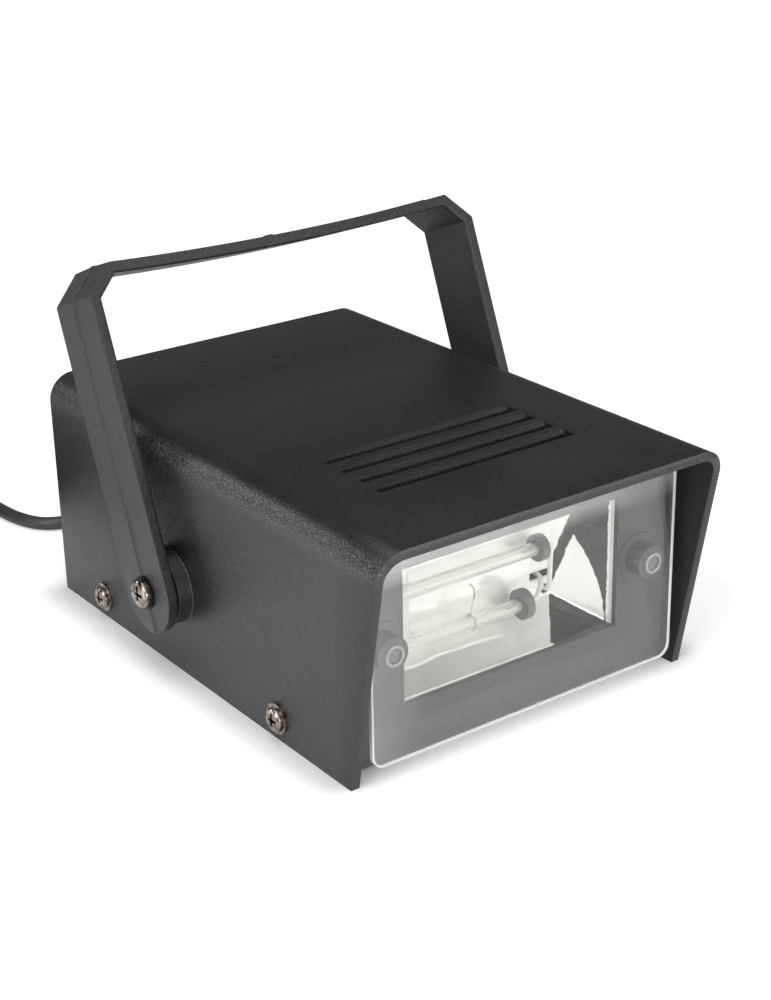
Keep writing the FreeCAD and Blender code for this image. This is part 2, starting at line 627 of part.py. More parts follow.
def reflector():
    """Folded aluminium trough: four slopes, a flat back and a flange staked to the bezel."""
    mouth_width = WINDOW_WIDTH + 2 * REFLECTOR_LAP
    mouth_height = WINDOW_HEIGHT + 2 * REFLECTOR_LAP

    def trough(growth):
        front = rectangle(mouth_width + growth, mouth_height + growth,
                          Vector(0, BEZEL_BACK, WINDOW_Z))
        back = rectangle(REFLECTOR_BACK_WIDTH + growth, REFLECTOR_BACK_HEIGHT + growth,
                         Vector(0, REFLECTOR_BACK + growth / 2, WINDOW_Z))
        return Part.makeLoft([front, back], True, True)

    flange = rectangle(mouth_width + 2 * REFLECTOR_FLANGE, mouth_height + 2 * REFLECTOR_FLANGE,
                       Vector(0, BEZEL_BACK, WINDOW_Z))
    flange = Part.Face(flange).extrude(Vector(0, SHEET, 0))
    shape = fused([trough(2 * SHEET), flange]).cut(trough(0))
    for z in (TUBE_LOWER_Z, TUBE_UPPER_Z):
        shape = shape.cut(along_x(TUBE_RADIUS + HOLE_CLEARANCE, -WINDOW_WIDTH / 2,
                                  -REFLECTOR_BACK_WIDTH / 2, TUBE_Y, z))
    for side in (-1, 1):
        for z in stake_heights():
            shape = shape.cut(along_y(STAKE_RADIUS + SEAT_FIT, BEZEL_BACK - SHEET,
                                      BEZEL_BACK + 2 * SHEET, side * STAKE_X, z))
    behind = (REFLECTOR_BACK - SHEET, REFLECTOR_BACK + 2 * SHEET)
    shape = shape.cut(block(
        (LEAD_SLOT_X - LEAD_SLOT_WIDTH / 2, LEAD_SLOT_X + LEAD_SLOT_WIDTH / 2), behind,
        (LEAD_SLOT_Z - LEAD_SLOT_HEIGHT / 2, LEAD_SLOT_Z + LEAD_SLOT_HEIGHT / 2)))
    shape = shape.cut(along_y(CORE_RADIUS + WIRE_CLEARANCE, *behind, LEAD_HOLE_X, LEAD_HOLE_Z))
    return shape.cut(along_y(TRIGGER_WIRE_RADIUS + WIRE_CLEARANCE, *behind,
                             TRIGGER_HOLE_X, TRIGGER_HOLE_Z))


def tube_outline(radius, seal):
    """U-shaped rod of a given radius whose two ends stop short by seal."""
    centre = Vector(TUBE_BEND_X, TUBE_Y, WINDOW_Z)
    top = centre + Vector(0, 0, TUBE_PITCH / 2)
    left = centre - Vector(TUBE_PITCH / 2, 0, 0)
    bottom = centre - Vector(0, 0, TUBE_PITCH / 2)
    start = Vector(TUBE_END_UPPER_X - seal, TUBE_Y, TUBE_UPPER_Z)
    end = Vector(TUBE_END_LOWER_X - seal, TUBE_Y, TUBE_LOWER_Z)
    path = Part.Wire([
        Part.LineSegment(start, top).toShape(),
        Part.Arc(top, left, bottom).toShape(),
        Part.LineSegment(bottom, end).toShape(),
    ])
    ring = Part.Wire([Part.makeCircle(radius, start, Vector(-1, 0, 0))])
    return path.makePipeShell([ring], True, True)


def tube_ends():
    """Where each limb of the flash tube ends, with the radius of its bushing."""
    return [
        (Vector(TUBE_END_UPPER_X, TUBE_Y, TUBE_UPPER_Z), BUSHING_UPPER_RADIUS),
        (Vector(TUBE_END_LOWER_X, TUBE_Y, TUBE_LOWER_Z), BUSHING_LOWER_RADIUS),
    ]


def flash_tube():
    """Glass U-tube, hollow, with a seal at each end that the electrode passes."""
    glass = tube_outline(TUBE_RADIUS, 0).cut(tube_outline(TUBE_RADIUS - TUBE_WALL, TUBE_SEAL))
    for end, _ in tube_ends():
        glass = glass.cut(rod(ELECTRODE_RADIUS + SEAT_FIT, end - Vector(2 * TUBE_SEAL, 0, 0),
                              end + Vector(TUBE_SEAL, 0, 0)))
    return glass


def tube_electrodes():
    """Tungsten pin in each end of the tube, through its seal and its bushing."""
    outside = Vector(BUSHING_THICKNESS / 2, 0, 0)
    inside = Vector(ELECTRODE_LENGTH, 0, 0) - outside
    return Part.makeCompound([
        rod(ELECTRODE_RADIUS, end - inside, end + outside) for end, _ in tube_ends()
    ])


def tube_bushings():
    """Silicone disc on each end of the tube, half over the glass and half over the lead."""
    half = Vector(BUSHING_THICKNESS / 2, 0, 0)
    discs = []
    for end, radius in tube_ends():
        disc = rod(radius, end - half, end + half)
        disc = disc.cut(rod(TUBE_RADIUS + SEAT_FIT, end - half, end))
        discs.append(disc.cut(rod(ELECTRODE_RADIUS + SEAT_FIT, end, end + half)))
    return Part.makeCompound(discs)


def tube_leads():
    """Insulated lead from each electrode, through the reflector's back, down to the board."""
    upper, lower = [end + Vector(BUSHING_THICKNESS / 2, 0, 0) for end, _ in tube_ends()]
    behind = REFLECTOR_BACK + SHEET + TUBE_LEAD_RUN
    before = REFLECTOR_BACK - 0.7 * TUBE_LEAD_RUN
    hanging = BOARD_FRONT_EDGE - TUBE_LEAD_REACH
    landing_y = BOARD_FRONT_EDGE + TUBE_LEAD_INSET
    upper_x, lower_x = TUBE_LEAD_LANDING_XS
    routes = [
        [
            upper,
            upper + Vector(0.9 * TUBE_LEAD_RUN, 0, 0),
            Vector(LEAD_HOLE_X - CORE_RADIUS, before, LEAD_HOLE_Z + CORE_RADIUS),
            Vector(LEAD_HOLE_X, behind, LEAD_HOLE_Z),
            Vector((LEAD_HOLE_X + upper_x) / 2, hanging, LEAD_HOLE_Z - TUBE_LEAD_RUN),
            Vector(upper_x, landing_y, BOARD_TOP + TUBE_LEAD_RISE),
            Vector(upper_x, landing_y, BOARD_BOTTOM),
        ],
        [
            lower,
            lower + Vector(TUBE_LEAD_RUN, 0, 0),
            Vector(LEAD_SLOT_X - CORE_RADIUS, before, LEAD_SLOT_Z),
            Vector(LEAD_SLOT_X, behind, LEAD_SLOT_Z),
            Vector((LEAD_SLOT_X + lower_x) / 2, hanging, LEAD_SLOT_Z - 2 * TUBE_LEAD_RUN),
            Vector(lower_x, landing_y, BOARD_TOP + TUBE_LEAD_RISE),
            Vector(lower_x, landing_y, BOARD_BOTTOM),
        ],
    ]
    board_holes.extend((route[-1].x, route[-1].y, CORE_RADIUS) for route in routes)
    return Part.makeCompound([cable(route, CORE_RADIUS)[0] for route in routes])


def trigger_wire():
    """Thin nickel wire looped round the lower limb and led back to the trigger transformer."""
    loop_radius = TUBE_RADIUS + SEAT_FIT + TRIGGER_WIRE_RADIUS
    loop_centre = Vector(TRIGGER_LOOP_X, TUBE_Y, TUBE_LOWER_Z)
    loop = Part.makeTorus(loop_radius, TRIGGER_WIRE_RADIUS, loop_centre, Vector(1, 0, 0))
    behind = REFLECTOR_BACK + SHEET
    tail, _, _ = cable([
        loop_centre + Vector(0, 0, loop_radius),
        loop_centre + Vector(0.6, 0, loop_radius + 3.5),
        Vector(TRIGGER_HOLE_X, REFLECTOR_BACK - 2.5, TRIGGER_HOLE_Z - 0.6),
        Vector(TRIGGER_HOLE_X, behind + 4.0, TRIGGER_HOLE_Z),
        Vector(COIL_X - 8.0, COIL_Y - 22.0, TRIGGER_HOLE_Z - 3.0),
        Vector(COIL_X, COIL_Y, BOARD_TOP + COIL_HEIGHT + 6.0),
        Vector(COIL_X, COIL_Y, BOARD_TOP + COIL_HEIGHT),
    ], TRIGGER_WIRE_RADIUS)
    return fused([loop, tail])


# --- electronics ------------------------------------------------------------------------------
def board_screws():
    """Four pan-head screws through the board into its standoffs."""
    screws = []
    for x, y in STANDOFFS:
        head = along_z(BOARD_SCREW_HEAD_RADIUS, BOARD_TOP, BOARD_TOP + BOARD_SCREW_HEAD_HEIGHT, x, y)
        shank = along_z(BOARD_SCREW_RADIUS, BOARD_TOP - BOARD_SCREW_LENGTH, BOARD_TOP, x, y)
        crown = Vector(x, y, BOARD_TOP + BOARD_SCREW_HEAD_HEIGHT)
        drive = cross_recess(1.2 * BOARD_SCREW_HEAD_RADIUS, 0.8, 0.6 * BOARD_SCREW_HEAD_HEIGHT,
                             crown, Vector(0, 0, -1))
        screws.append(fused([head, shank]).cut(drive))
    return Part.makeCompound(screws)


def storage_capacitors():
    """Two upright electrolytic cans that hold the flash's energy."""
    cans = []
    for y in CAPACITOR_YS:
        can = along_z(CAPACITOR_RADIUS, BOARD_TOP, BOARD_TOP + CAPACITOR_HEIGHT, CAPACITOR_X, y)
        can = can.makeChamfer(0.8, [edge for edge in can.Edges if len(edge.Vertexes) == 1])
        pins = [(CAPACITOR_X - 2.5, y), (CAPACITOR_X + 2.5, y)]
        cans.append(fused([can] + board_legs(pins, BOARD_TOP + 1.0)))
    return Part.makeCompound(cans)


def doubler_diodes():
    """Two rectifier diodes of the voltage doubler."""
    return Part.makeCompound([axial(DIODE_RADIUS, DIODE_LENGTH, DIODE_X, y) for y in DIODE_YS])


def ballast_resistor():
    """Ceramic power resistor, held off the board on its own legs."""
    length, depth, height = RESISTOR_BLOCK
    low = BOARD_TOP + RESISTOR_BLOCK_LIFT
    body = block((RESISTOR_BLOCK_X - length / 2, RESISTOR_BLOCK_X + length / 2),
                 (RESISTOR_BLOCK_Y - depth / 2, RESISTOR_BLOCK_Y + depth / 2), (low, low + height))
    inset = length / 2 - 3.0
    places = [(RESISTOR_BLOCK_X + side * inset, RESISTOR_BLOCK_Y) for side in (-1, 1)]
    return fused([body] + board_legs(places, low + 1.0))


def trigger_capacitor():
    """Boxed film capacitor that is dumped into the trigger transformer."""
    length, depth, height = FILM_CAPACITOR
    body = block((FILM_CAPACITOR_X - length / 2, FILM_CAPACITOR_X + length / 2),
                 (FILM_CAPACITOR_Y - depth / 2, FILM_CAPACITOR_Y + depth / 2),
                 (BOARD_TOP, BOARD_TOP + height))
    inset = length / 2 - 1.5
    places = [(FILM_CAPACITOR_X + side * inset, FILM_CAPACITOR_Y) for side in (-1, 1)]
    return fused([body] + board_legs(places, BOARD_TOP + 1.0))


def trigger_transformer():
    """Upright bobbin with its winding between two flanges."""
    flange = 1.2
    top = BOARD_TOP + COIL_HEIGHT
    shapes = [
        along_z(COIL_RADIUS, BOARD_TOP, top, COIL_X, COIL_Y),
        along_z(COIL_FLANGE_RADIUS, BOARD_TOP, BOARD_TOP + flange, COIL_X, COIL_Y),
        along_z(COIL_FLANGE_RADIUS, top - flange, top, COIL_X, COIL_Y),
    ]
    places = [(COIL_X - COIL_CORE_RADIUS, COIL_Y), (COIL_X + COIL_CORE_RADIUS, COIL_Y),
              (COIL_X, COIL_Y + COIL_CORE_RADIUS)]
    return fused(shapes + board_legs(places, BOARD_TOP + 1.0))


def thyristor():
    """Flat plastic package standing on its three legs."""
    width, depth, height = THYRISTOR
    lift = 3.0
    low = BOARD_TOP + lift
    body = block((THYRISTOR_X - width / 2, THYRISTOR_X + width / 2),
                 (THYRISTOR_Y - depth / 2, THYRISTOR_Y + depth / 2), (low, low + height))
    body = body.cut(along_y(1.6, THYRISTOR_Y - depth, THYRISTOR_Y + depth,
                            THYRISTOR_X, low + height - 3.0))
    places = [(THYRISTOR_X + step * 2.54, THYRISTOR_Y) for step in (-1, 0, 1)]
    return fused([body] + board_legs(places, low + 1.0))


def diac():
    """Small glass trigger diode."""
    return axial(DIAC_RADIUS, DIAC_LENGTH, DIAC_X, DIAC_Y, 90.0)


def resistors():
    """Four small resistors of the timing circuit."""
    return Part.makeCompound([
        axial(RESISTOR_RADIUS, RESISTOR_LENGTH, RESISTOR_X, y) for y in RESISTOR_YS
    ])


def fuse():
    """Glass cartridge fuse with its two metal caps as slightly wider ends."""
    z = BOARD_TOP + FUSE_LIFT
    low = FUSE_X - FUSE_LENGTH / 2
    high = FUSE_X + FUSE_LENGTH / 2
    glass = along_x(0.9 * FUSE_RADIUS, low, high, FUSE_Y, z)
    caps = [along_x(FUSE_RADIUS, low, low + CLIP_WIDTH, FUSE_Y, z),
            along_x(FUSE_RADIUS, high - CLIP_WIDTH, high, FUSE_Y, z)]
    return fused([glass] + caps)


def fuse_clips():
    """Spring clip under each cap of the fuse: a split ring on a foot that is soldered down."""
    z = BOARD_TOP + FUSE_LIFT
    clips = []
    for side in (-1, 1):
        outer_end = FUSE_X + side * FUSE_LENGTH / 2
        inner_end = outer_end - side * CLIP_WIDTH
        ring = along_x(FUSE_RADIUS + SEAT_FIT + CLIP_SHEET, outer_end, inner_end, FUSE_Y, z)
        foot = block(sorted((outer_end, inner_end)), (FUSE_Y - 1.5, FUSE_Y + 1.5), (BOARD_TOP, z))
        clip = fused([ring, foot])
        clip = clip.cut(along_x(FUSE_RADIUS + SEAT_FIT, outer_end + side, inner_end - side,
                                FUSE_Y, z))
        mouth = block(sorted((outer_end + side, inner_end - side)), (FUSE_Y - 1.8, FUSE_Y + 1.8),
                      (z, z + 2 * FUSE_RADIUS))
        middle = (outer_end + inner_end) / 2
        clips.append(fused([clip.cut(mouth)] + board_legs([(middle, FUSE_Y)], BOARD_TOP + 0.5)))
    return Part.makeCompound(clips)


def circuit_board():
    """Single-sided board with a hole for every leg, core and screw."""
    board = block((-BOARD_WIDTH / 2, BOARD_WIDTH / 2),
                  (BOARD_Y - BOARD_DEPTH / 2, BOARD_Y + BOARD_DEPTH / 2), (BOARD_BOTTOM, BOARD_TOP))
    holes = board_holes + [(x, y, BOARD_SCREW_RADIUS) for x, y in STANDOFFS]
    drills = [
        along_z(radius + SEAT_FIT, BOARD_BOTTOM - 1.0, BOARD_TOP + 1.0, x, y) for x, y, radius in holes
    ]
    return board.cut(Part.makeCompound(drills))


# --- speed control ----------------------------------------------------------------------------
def speed_pot():
    """Round potentiometer: case inside the rear panel, threaded bushing through it, terminals."""
    case_front = PANEL_FRONT - POT_DEPTH
    shapes = [
        along_y(POT_RADIUS, case_front, PANEL_FRONT, 0, KNOB_Z),
        along_y(POT_BUSHING_RADIUS, PANEL_FRONT, PANEL_FRONT + POT_BUSHING_LENGTH, 0, KNOB_Z),
    ]
    for x in pot_terminals():
        terminal_y = PANEL_FRONT - POT_TERMINAL_SETBACK
        shapes.append(block((x - POT_TERMINAL_WIDTH / 2, x + POT_TERMINAL_WIDTH / 2),
                            (terminal_y, terminal_y + CLIP_SHEET),
                            (KNOB_Z - POT_RADIUS - POT_TERMINAL_DROP, KNOB_Z - 0.7 * POT_RADIUS)))
    shape = fused(shapes)
    shape = shape.cut(along_y(POT_COLLAR_RADIUS + RUNNING_FIT, case_front + POT_WALL,
                              collar_face() + RUNNING_GAP, 0, KNOB_Z))
    return shape.cut(along_y(POT_SHAFT_RADIUS + RUNNING_FIT, case_front + POT_WALL,
                             PANEL_FRONT + POT_BUSHING_LENGTH + 1.0, 0, KNOB_Z))


def collar_face():
    """Rear face of the collar that keeps the shaft in the potentiometer."""
    return PANEL_FRONT - POT_WALL - RUNNING_GAP


def pot_terminals():
    """Places across the lamp of the potentiometer's three terminals."""
    return [step * POT_TERMINAL_PITCH for step in (-1, 0, 1)]


def pot_shaft():
    """Turning shaft with a collar inside the case, as long as the knob's bore is deep."""
    collar = along_y(POT_COLLAR_RADIUS, collar_face() - POT_COLLAR_THICKNESS, collar_face(), 0, KNOB_Z)
    stem = along_y(POT_SHAFT_RADIUS, collar_face(), shaft_end(), 0, KNOB_Z)
    return fused([collar, stem])


def shaft_end():
    """Outer end of the shaft, inside the knob."""
    return KNOB_FACE - 3.0


def pot_nut():
    """Hexagonal nut on the bushing, outside the rear panel."""
    nut = hexagon(POT_NUT_FLATS, POT_NUT_THICKNESS, Vector(0, PANEL_BACK, KNOB_Z), Vector(0, 1, 0))
    return nut.cut(along_y(POT_BUSHING_RADIUS + SEAT_FIT, PANEL_BACK - 1.0,
                           PANEL_BACK + POT_NUT_THICKNESS + 1.0, 0, KNOB_Z))


def speed_knob():
    """Fluted knob pressed on the shaft, hollow behind to cover the nut, with a pointer line."""
    knob = along_y(KNOB_RADIUS, KNOB_BACK, KNOB_FACE, 0, KNOB_Z)
    face_edge = [edge for edge in knob.Edges if abs(edge.BoundBox.YMin - KNOB_FACE) < 0.01]
    knob = knob.makeFillet(KNOB_ROUND, face_edge)
    flutes = []
    for i in range(KNOB_FLUTES):
        angle = 2 * math.pi * (i + 0.5) / KNOB_FLUTES
        flutes.append(along_y(KNOB_FLUTE_RADIUS, KNOB_BACK - 1.0, KNOB_FACE - 2 * KNOB_ROUND,
                              KNOB_RADIUS * math.cos(angle), KNOB_Z + KNOB_RADIUS * math.sin(angle)))
    knob = knob.cut(Part.makeCompound(flutes))
    hollow_depth = PANEL_FRONT + POT_BUSHING_LENGTH + 1.0
    knob = knob.cut(along_y(KNOB_HOLLOW_RADIUS, KNOB_BACK - 1.0, hollow_depth, 0, KNOB_Z))
    knob = knob.cut(along_y(POT_SHAFT_RADIUS + SEAT_FIT, KNOB_BACK - 1.0, shaft_end() + SEAT_FIT,
                            0, KNOB_Z))
    return knob.cut(block((-0.5, 0.5), (KNOB_FACE - 0.6, KNOB_FACE + 1.0),
                          (KNOB_Z + 2.5, KNOB_Z + KNOB_RADIUS + 1.0)))


def pot_leads():
    """Three cores from the potentiometer's terminals to the rear edge of the board."""
    leads = []
    for x in pot_terminals():
        tip = Vector(x, PANEL_FRONT - POT_TERMINAL_SETBACK - CORE_RADIUS,
                     KNOB_Z - POT_RADIUS - 0.4 * POT_TERMINAL_DROP)
        landing = Vector(x - POT_LEAD_SHIFT, BOARD_REAR_EDGE - POT_LEAD_INSET, BOARD_BOTTOM)
        board_holes.append((landing.x, landing.y, CORE_RADIUS))
        leads.append(cable([
            tip,
            tip - Vector(0.6 * CORE_RADIUS, CORE_RADIUS, 1.2 * POT_TERMINAL_DROP),
            Vector(x - 0.6 * POT_LEAD_SHIFT, BOARD_REAR_EDGE + POT_LEAD_RISE,
                   BOARD_TOP + 1.3 * POT_LEAD_RISE),
            Vector(landing.x, landing.y, BOARD_TOP + POT_LEAD_RISE),
            landing,
        ], CORE_RADIUS)[0])
    return Part.makeCompound(leads)


# --- mains lead -------------------------------------------------------------------------------
def strain_relief():
    """Moulded bush in the rear panel, tapering along the lead outside."""
    catch = PANEL_FRONT - RELIEF_FLANGE_THICKNESS
    sleeve_start = PANEL_BACK + RELIEF_FLANGE_THICKNESS
    sleeve = Part.makeCone(RELIEF_ROOT_RADIUS, RELIEF_TIP_RADIUS, RELIEF_TIP - sleeve_start,
                           Vector(RELIEF_X, sleeve_start, RELIEF_Z), Vector(0, 1, 0))
    return fused([
        along_y(RELIEF_CATCH_RADIUS, catch, PANEL_FRONT, RELIEF_X, RELIEF_Z),
        along_y(RELIEF_ROOT_RADIUS, PANEL_FRONT, PANEL_BACK, RELIEF_X, RELIEF_Z),
        along_y(RELIEF_FLANGE_RADIUS, PANEL_BACK, sleeve_start, RELIEF_X, RELIEF_Z),
        sleeve,
    ])


def mains_leads():
    """The lead's two cores, from the bush to the board beside the fuse and the ballast."""
    start_y = PANEL_FRONT - RELIEF_FLANGE_THICKNESS
    leads = []
    for side, landing_x in zip((-1, 1), CORE_LANDING_XS):
        x = RELIEF_X + side * CORE_SPACING / 2
        landing = Vector(landing_x, BOARD_REAR_EDGE - CORE_LANDING_INSET, BOARD_BOTTOM)
        board_holes.append((landing.x, landing.y, CORE_RADIUS))
        leads.append(cable([
            Vector(x, start_y, RELIEF_Z),
            Vector(x, start_y - CORE_STRAIGHT, RELIEF_Z),
            Vector(x + side * CORE_SPREAD, start_y - 2.7 * CORE_STRAIGHT, BOARD_TOP + 1.1 * CORE_RISE),
            Vector(landing.x - side * 0.5 * CORE_RISE, landing.y + CORE_RISE,
                   BOARD_TOP + 1.9 * CORE_RISE),
            Vector(landing.x, landing.y, BOARD_TOP + CORE_RISE),
            landing,
        ], CORE_RADIUS)[0])
    return Part.makeCompound(leads)


def mains_cord_run():
    """The lead where it isn't coiled: from the bush to the coil, and from the coil to the plug."""
    solids = []
    total = 0.0
    for name, route in (("lead to coil", CORD_ROUTE), ("coil to plug", PLUG_ROUTE)):
        solid, length, radii = cable(route, CORD_RADIUS)
        share = solid.Volume / (math.pi * CORD_RADIUS ** 2 * length)
        print(f"{name}: {length:.1f} mm, volume over section times length {share:.4f}, radii",
              " ".join(f"{radius:.1f}" for radius in radii))
        solids.append(solid)
        total += length
    wound = math.pi * (COIL_OUTER_TURN + COIL_INNER_TURN) * CORD_TURNS
    print(f"whole lead about {total + wound:.0f} mm")
    return Part.makeCompound(solids)


def mains_cord_coil():
    """Outer shape of the stored coil: a flat ring lying on the table."""
    height = COIL_LAYERS * 2 * CORD_RADIUS
    ring = Part.makeCylinder(COIL_OUTER_TURN + CORD_RADIUS, height, COIL_CENTRE)
    return ring.cut(Part.makeCylinder(COIL_INNER_TURN - CORD_RADIUS, height, COIL_CENTRE))


def plug_body():
    """Flat moulded two-pin plug: a wide grip, a shoulder and a tapering tail round the lead."""
    tail = PLUG_ROUTE[-1]
    neck = tail - Vector(0, PLUG_TAIL_LENGTH, 0)
    shoulder = neck - Vector(0, PLUG_SHOULDER_LENGTH, 0)
    face = shoulder - Vector(0, PLUG_BODY_LENGTH, 0)
    sections = [
        rounded_rectangle(PLUG_WIDTH, PLUG_HEIGHT, PLUG_CORNER, face),
        rounded_rectangle(PLUG_WIDTH, PLUG_HEIGHT, PLUG_CORNER, shoulder),
        rounded_rectangle(PLUG_NECK, PLUG_NECK, PLUG_CORNER, neck),
    ]
    grip = Part.makeLoft(sections, True, True)
    cone = Part.makeCone(PLUG_NECK / 2, CORD_RADIUS + 0.6, PLUG_TAIL_LENGTH, neck, Vector(0, 1, 0))
    body = fused([grip, cone])
    for x in plug_pin_places():
        body = body.cut(rod(PLUG_PIN_RADIUS - PLUG_SLEEVE_STEP + SEAT_FIT,
                            Vector(x, face.y - 1.0, tail.z),
                            Vector(x, face.y + PLUG_SLEEVE_LENGTH / 2, tail.z)))
    return body


def plug_pin_places():
    """Places across the plug of its two pins."""
    middle = PLUG_ROUTE[-1].x
    return middle - PLUG_PIN_PITCH / 2, middle + PLUG_PIN_PITCH / 2


def plug_pins():
    """Two round pins, bare at the tip and sleeved from there into the body."""
    tail = PLUG_ROUTE[-1]
    face_y = tail.y - PLUG_TAIL_LENGTH - PLUG_SHOULDER_LENGTH - PLUG_BODY_LENGTH
    tip_y = face_y - PLUG_PIN_LENGTH
    pins = []
    for x in plug_pin_places():
        bare = along_y(PLUG_PIN_RADIUS, tip_y, face_y - PLUG_SLEEVE_LENGTH, x, tail.z)
        tip = [edge for edge in bare.Edges if abs(edge.BoundBox.YMax - tip_y) < 0.01]
        bare = bare.makeFillet(0.6 * PLUG_PIN_RADIUS, tip)
        sleeve = along_y(PLUG_PIN_RADIUS - PLUG_SLEEVE_STEP, face_y - PLUG_SLEEVE_LENGTH,
                         face_y + PLUG_SLEEVE_LENGTH / 2, x, tail.z)
        pins.append(fused([bare, sleeve]))
    return Part.makeCompound(pins)


# --- handle and its pivots --------------------------------------------------------------------
def bracket_section(y, fall):
    """Outline of the bracket, upright with its pivot at the origin, outer side drawn in by fall."""
    outer = ARM_OUTER - fall
    top = HANDLE_LENGTH - fall
    foot = -HANDLE_WIDTH_PIVOT / 2 - 1.0
    corner_x = ARM_OUTER - HANDLE_CHAMFER
    corner_z = HANDLE_LENGTH - HANDLE_CHAMFER
    inner_x = corner_x - HANDLE_INNER_SHIFT
    inner_z = corner_z - HANDLE_INNER_SHIFT
    under = HANDLE_LENGTH - HANDLE_THICKNESS
    return outline([
        Vector(-outer, y, foot),
        Vector(-outer, y, corner_z),
        Vector(-corner_x, y, top),
        (Vector(0, y, top - HANDLE_SAG), Vector(corner_x, y, top)),
        Vector(outer, y, corner_z),
        Vector(outer, y, foot),
        Vector(ARM_INNER, y, foot),
        Vector(ARM_INNER, y, inner_z),
        Vector(inner_x, y, under),
        (Vector(0, y, under - HANDLE_SAG), Vector(-inner_x, y, under)),
        Vector(-ARM_INNER, y, inner_z),
        Vector(-ARM_INNER, y, foot),
    ])


def handle():
    """U-shaped carrying bracket with chamfered corners, tilted back on its two pivots."""
    half = HANDLE_WIDTH_PIVOT / 2
    middle = bracket_section(0, 0)
    halves = [Part.makeLoft([middle, bracket_section(side * half, HANDLE_DRAFT)], True, True)
              for side in (-1, 1)]
    bracket = fused(halves)

    # Seen from the side an arm narrows upwards and ends in a half circle round its pivot.
    top = HANDLE_WIDTH_TOP / 2
    above = HANDLE_LENGTH + 1.0
    silhouette = outline([
        Vector(-HOOD_WIDTH, -half, 0),
        (Vector(-HOOD_WIDTH, 0, -half), Vector(-HOOD_WIDTH, half, 0)),
        Vector(-HOOD_WIDTH, top, above),
        Vector(-HOOD_WIDTH, -top, above),
    ])
    bracket = bracket.common(Part.Face(silhouette).extrude(Vector(2 * HOOD_WIDTH, 0, 0)))

    # The inner side is sunk, except for a rib along the front edge and the pads at the pivots.
    sunk_x = ARM_INNER + HANDLE_RECESS
    sunk_z = HANDLE_LENGTH - HANDLE_THICKNESS + HANDLE_RECESS
    corner_x = ARM_OUTER - HANDLE_CHAMFER - HANDLE_INNER_SHIFT
    corner_z = HANDLE_LENGTH - HANDLE_CHAMFER - HANDLE_INNER_SHIFT
    rib = HANDLE_RIM - top
    recess = outline([
        Vector(-sunk_x, rib, HANDLE_PAD),
        Vector(-sunk_x, rib, corner_z),
        Vector(-corner_x, rib, sunk_z),
        (Vector(0, rib, sunk_z - HANDLE_SAG), Vector(corner_x, rib, sunk_z)),
        Vector(sunk_x, rib, corner_z),
        Vector(sunk_x, rib, HANDLE_PAD),
    ])
    bracket = bracket.cut(Part.Face(recess).extrude(Vector(0, half - rib + 1.0, 0)))

    crown = HANDLE_LENGTH - HANDLE_SAG
    gate = along_z(GATE_RADIUS, crown - 0.5 * HANDLE_THICKNESS, crown + GATE_HEIGHT, 0, 0)
    bracket = fused([bracket, gate])
    for side in (-1, 1):
        bracket = bracket.cut(along_x(PIVOT_SCREW_RADIUS + RUNNING_FIT, side * (ARM_INNER - 1.0),
                                      side * (ARM_OUTER + 1.0), 0, 0))
    bracket.rotate(Vector(0, 0, 0), Vector(1, 0, 0), -HANDLE_TILT)
    bracket.translate(Vector(0, PIVOT_Y, PIVOT_Z))
    return bracket


def pivot_screws():
    """Pan-head machine screw through each arm, its washers and the hood, into a nut."""
    screws = []
    for side in (-1, 1):
        way = Vector(side, 0, 0)
        seat = Vector(side * (WASHER_X + WASHER_THICKNESS), PIVOT_Y, PIVOT_Z)
        crown = seat + way * PIVOT_HEAD_HEIGHT
        head = rod(PIVOT_HEAD_RADIUS, seat, crown)
        rim = [edge for edge in head.Edges if edge.BoundBox.Center.isEqual(crown, 0.01)]
        head = head.makeFillet(0.6 * PIVOT_HEAD_HEIGHT, rim)
        shank = rod(PIVOT_SCREW_RADIUS, seat - way * PIVOT_SCREW_LENGTH, seat)
        drive = cross_recess(1.25 * PIVOT_HEAD_RADIUS, 1.2, 0.85 * PIVOT_HEAD_HEIGHT, crown, -way)
        screws.append(fused([head, shank]).cut(drive))
    return Part.makeCompound(screws)


def ring_pair(radius, start, thickness):
    """A washer round each pivot screw, mirrored on both sides."""
    rings = []
    for side in (-1, 1):
        ring = along_x(radius, side * start, side * (start + thickness), PIVOT_Y, PIVOT_Z)
        rings.append(ring.cut(along_x(PIVOT_SCREW_RADIUS + SEAT_FIT, side * (start - 1.0),
                                      side * (start + thickness + 1.0), PIVOT_Y, PIVOT_Z)))
    return Part.makeCompound(rings)


def pivot_washers():
    """Steel washer under each pivot screw's head."""
    return ring_pair(WASHER_RADIUS, WASHER_X, WASHER_THICKNESS)


def friction_washers():
    """Rubber washer on each of the hood's bosses, which holds the handle where it is put."""
    return ring_pair(FRICTION_RADIUS, HOOD_WIDTH / 2 + PIVOT_BOSS_LENGTH, FRICTION_THICKNESS)


def pivot_nuts():
    """Hexagonal nut in the hood's pocket behind each pivot."""
    nuts = []
    for side in (-1, 1):
        start = Vector(side * (HOOD_WIDTH / 2 - NUT_SEAT), PIVOT_Y, PIVOT_Z)
        nut = hexagon(NUT_FLATS, NUT_THICKNESS, start, Vector(-side, 0, 0))
        nuts.append(nut.cut(along_x(PIVOT_SCREW_RADIUS + SEAT_FIT, start.x + side,
                                    start.x - side * (NUT_THICKNESS + 1.0), PIVOT_Y, PIVOT_Z)))
    return Part.makeCompound(nuts)


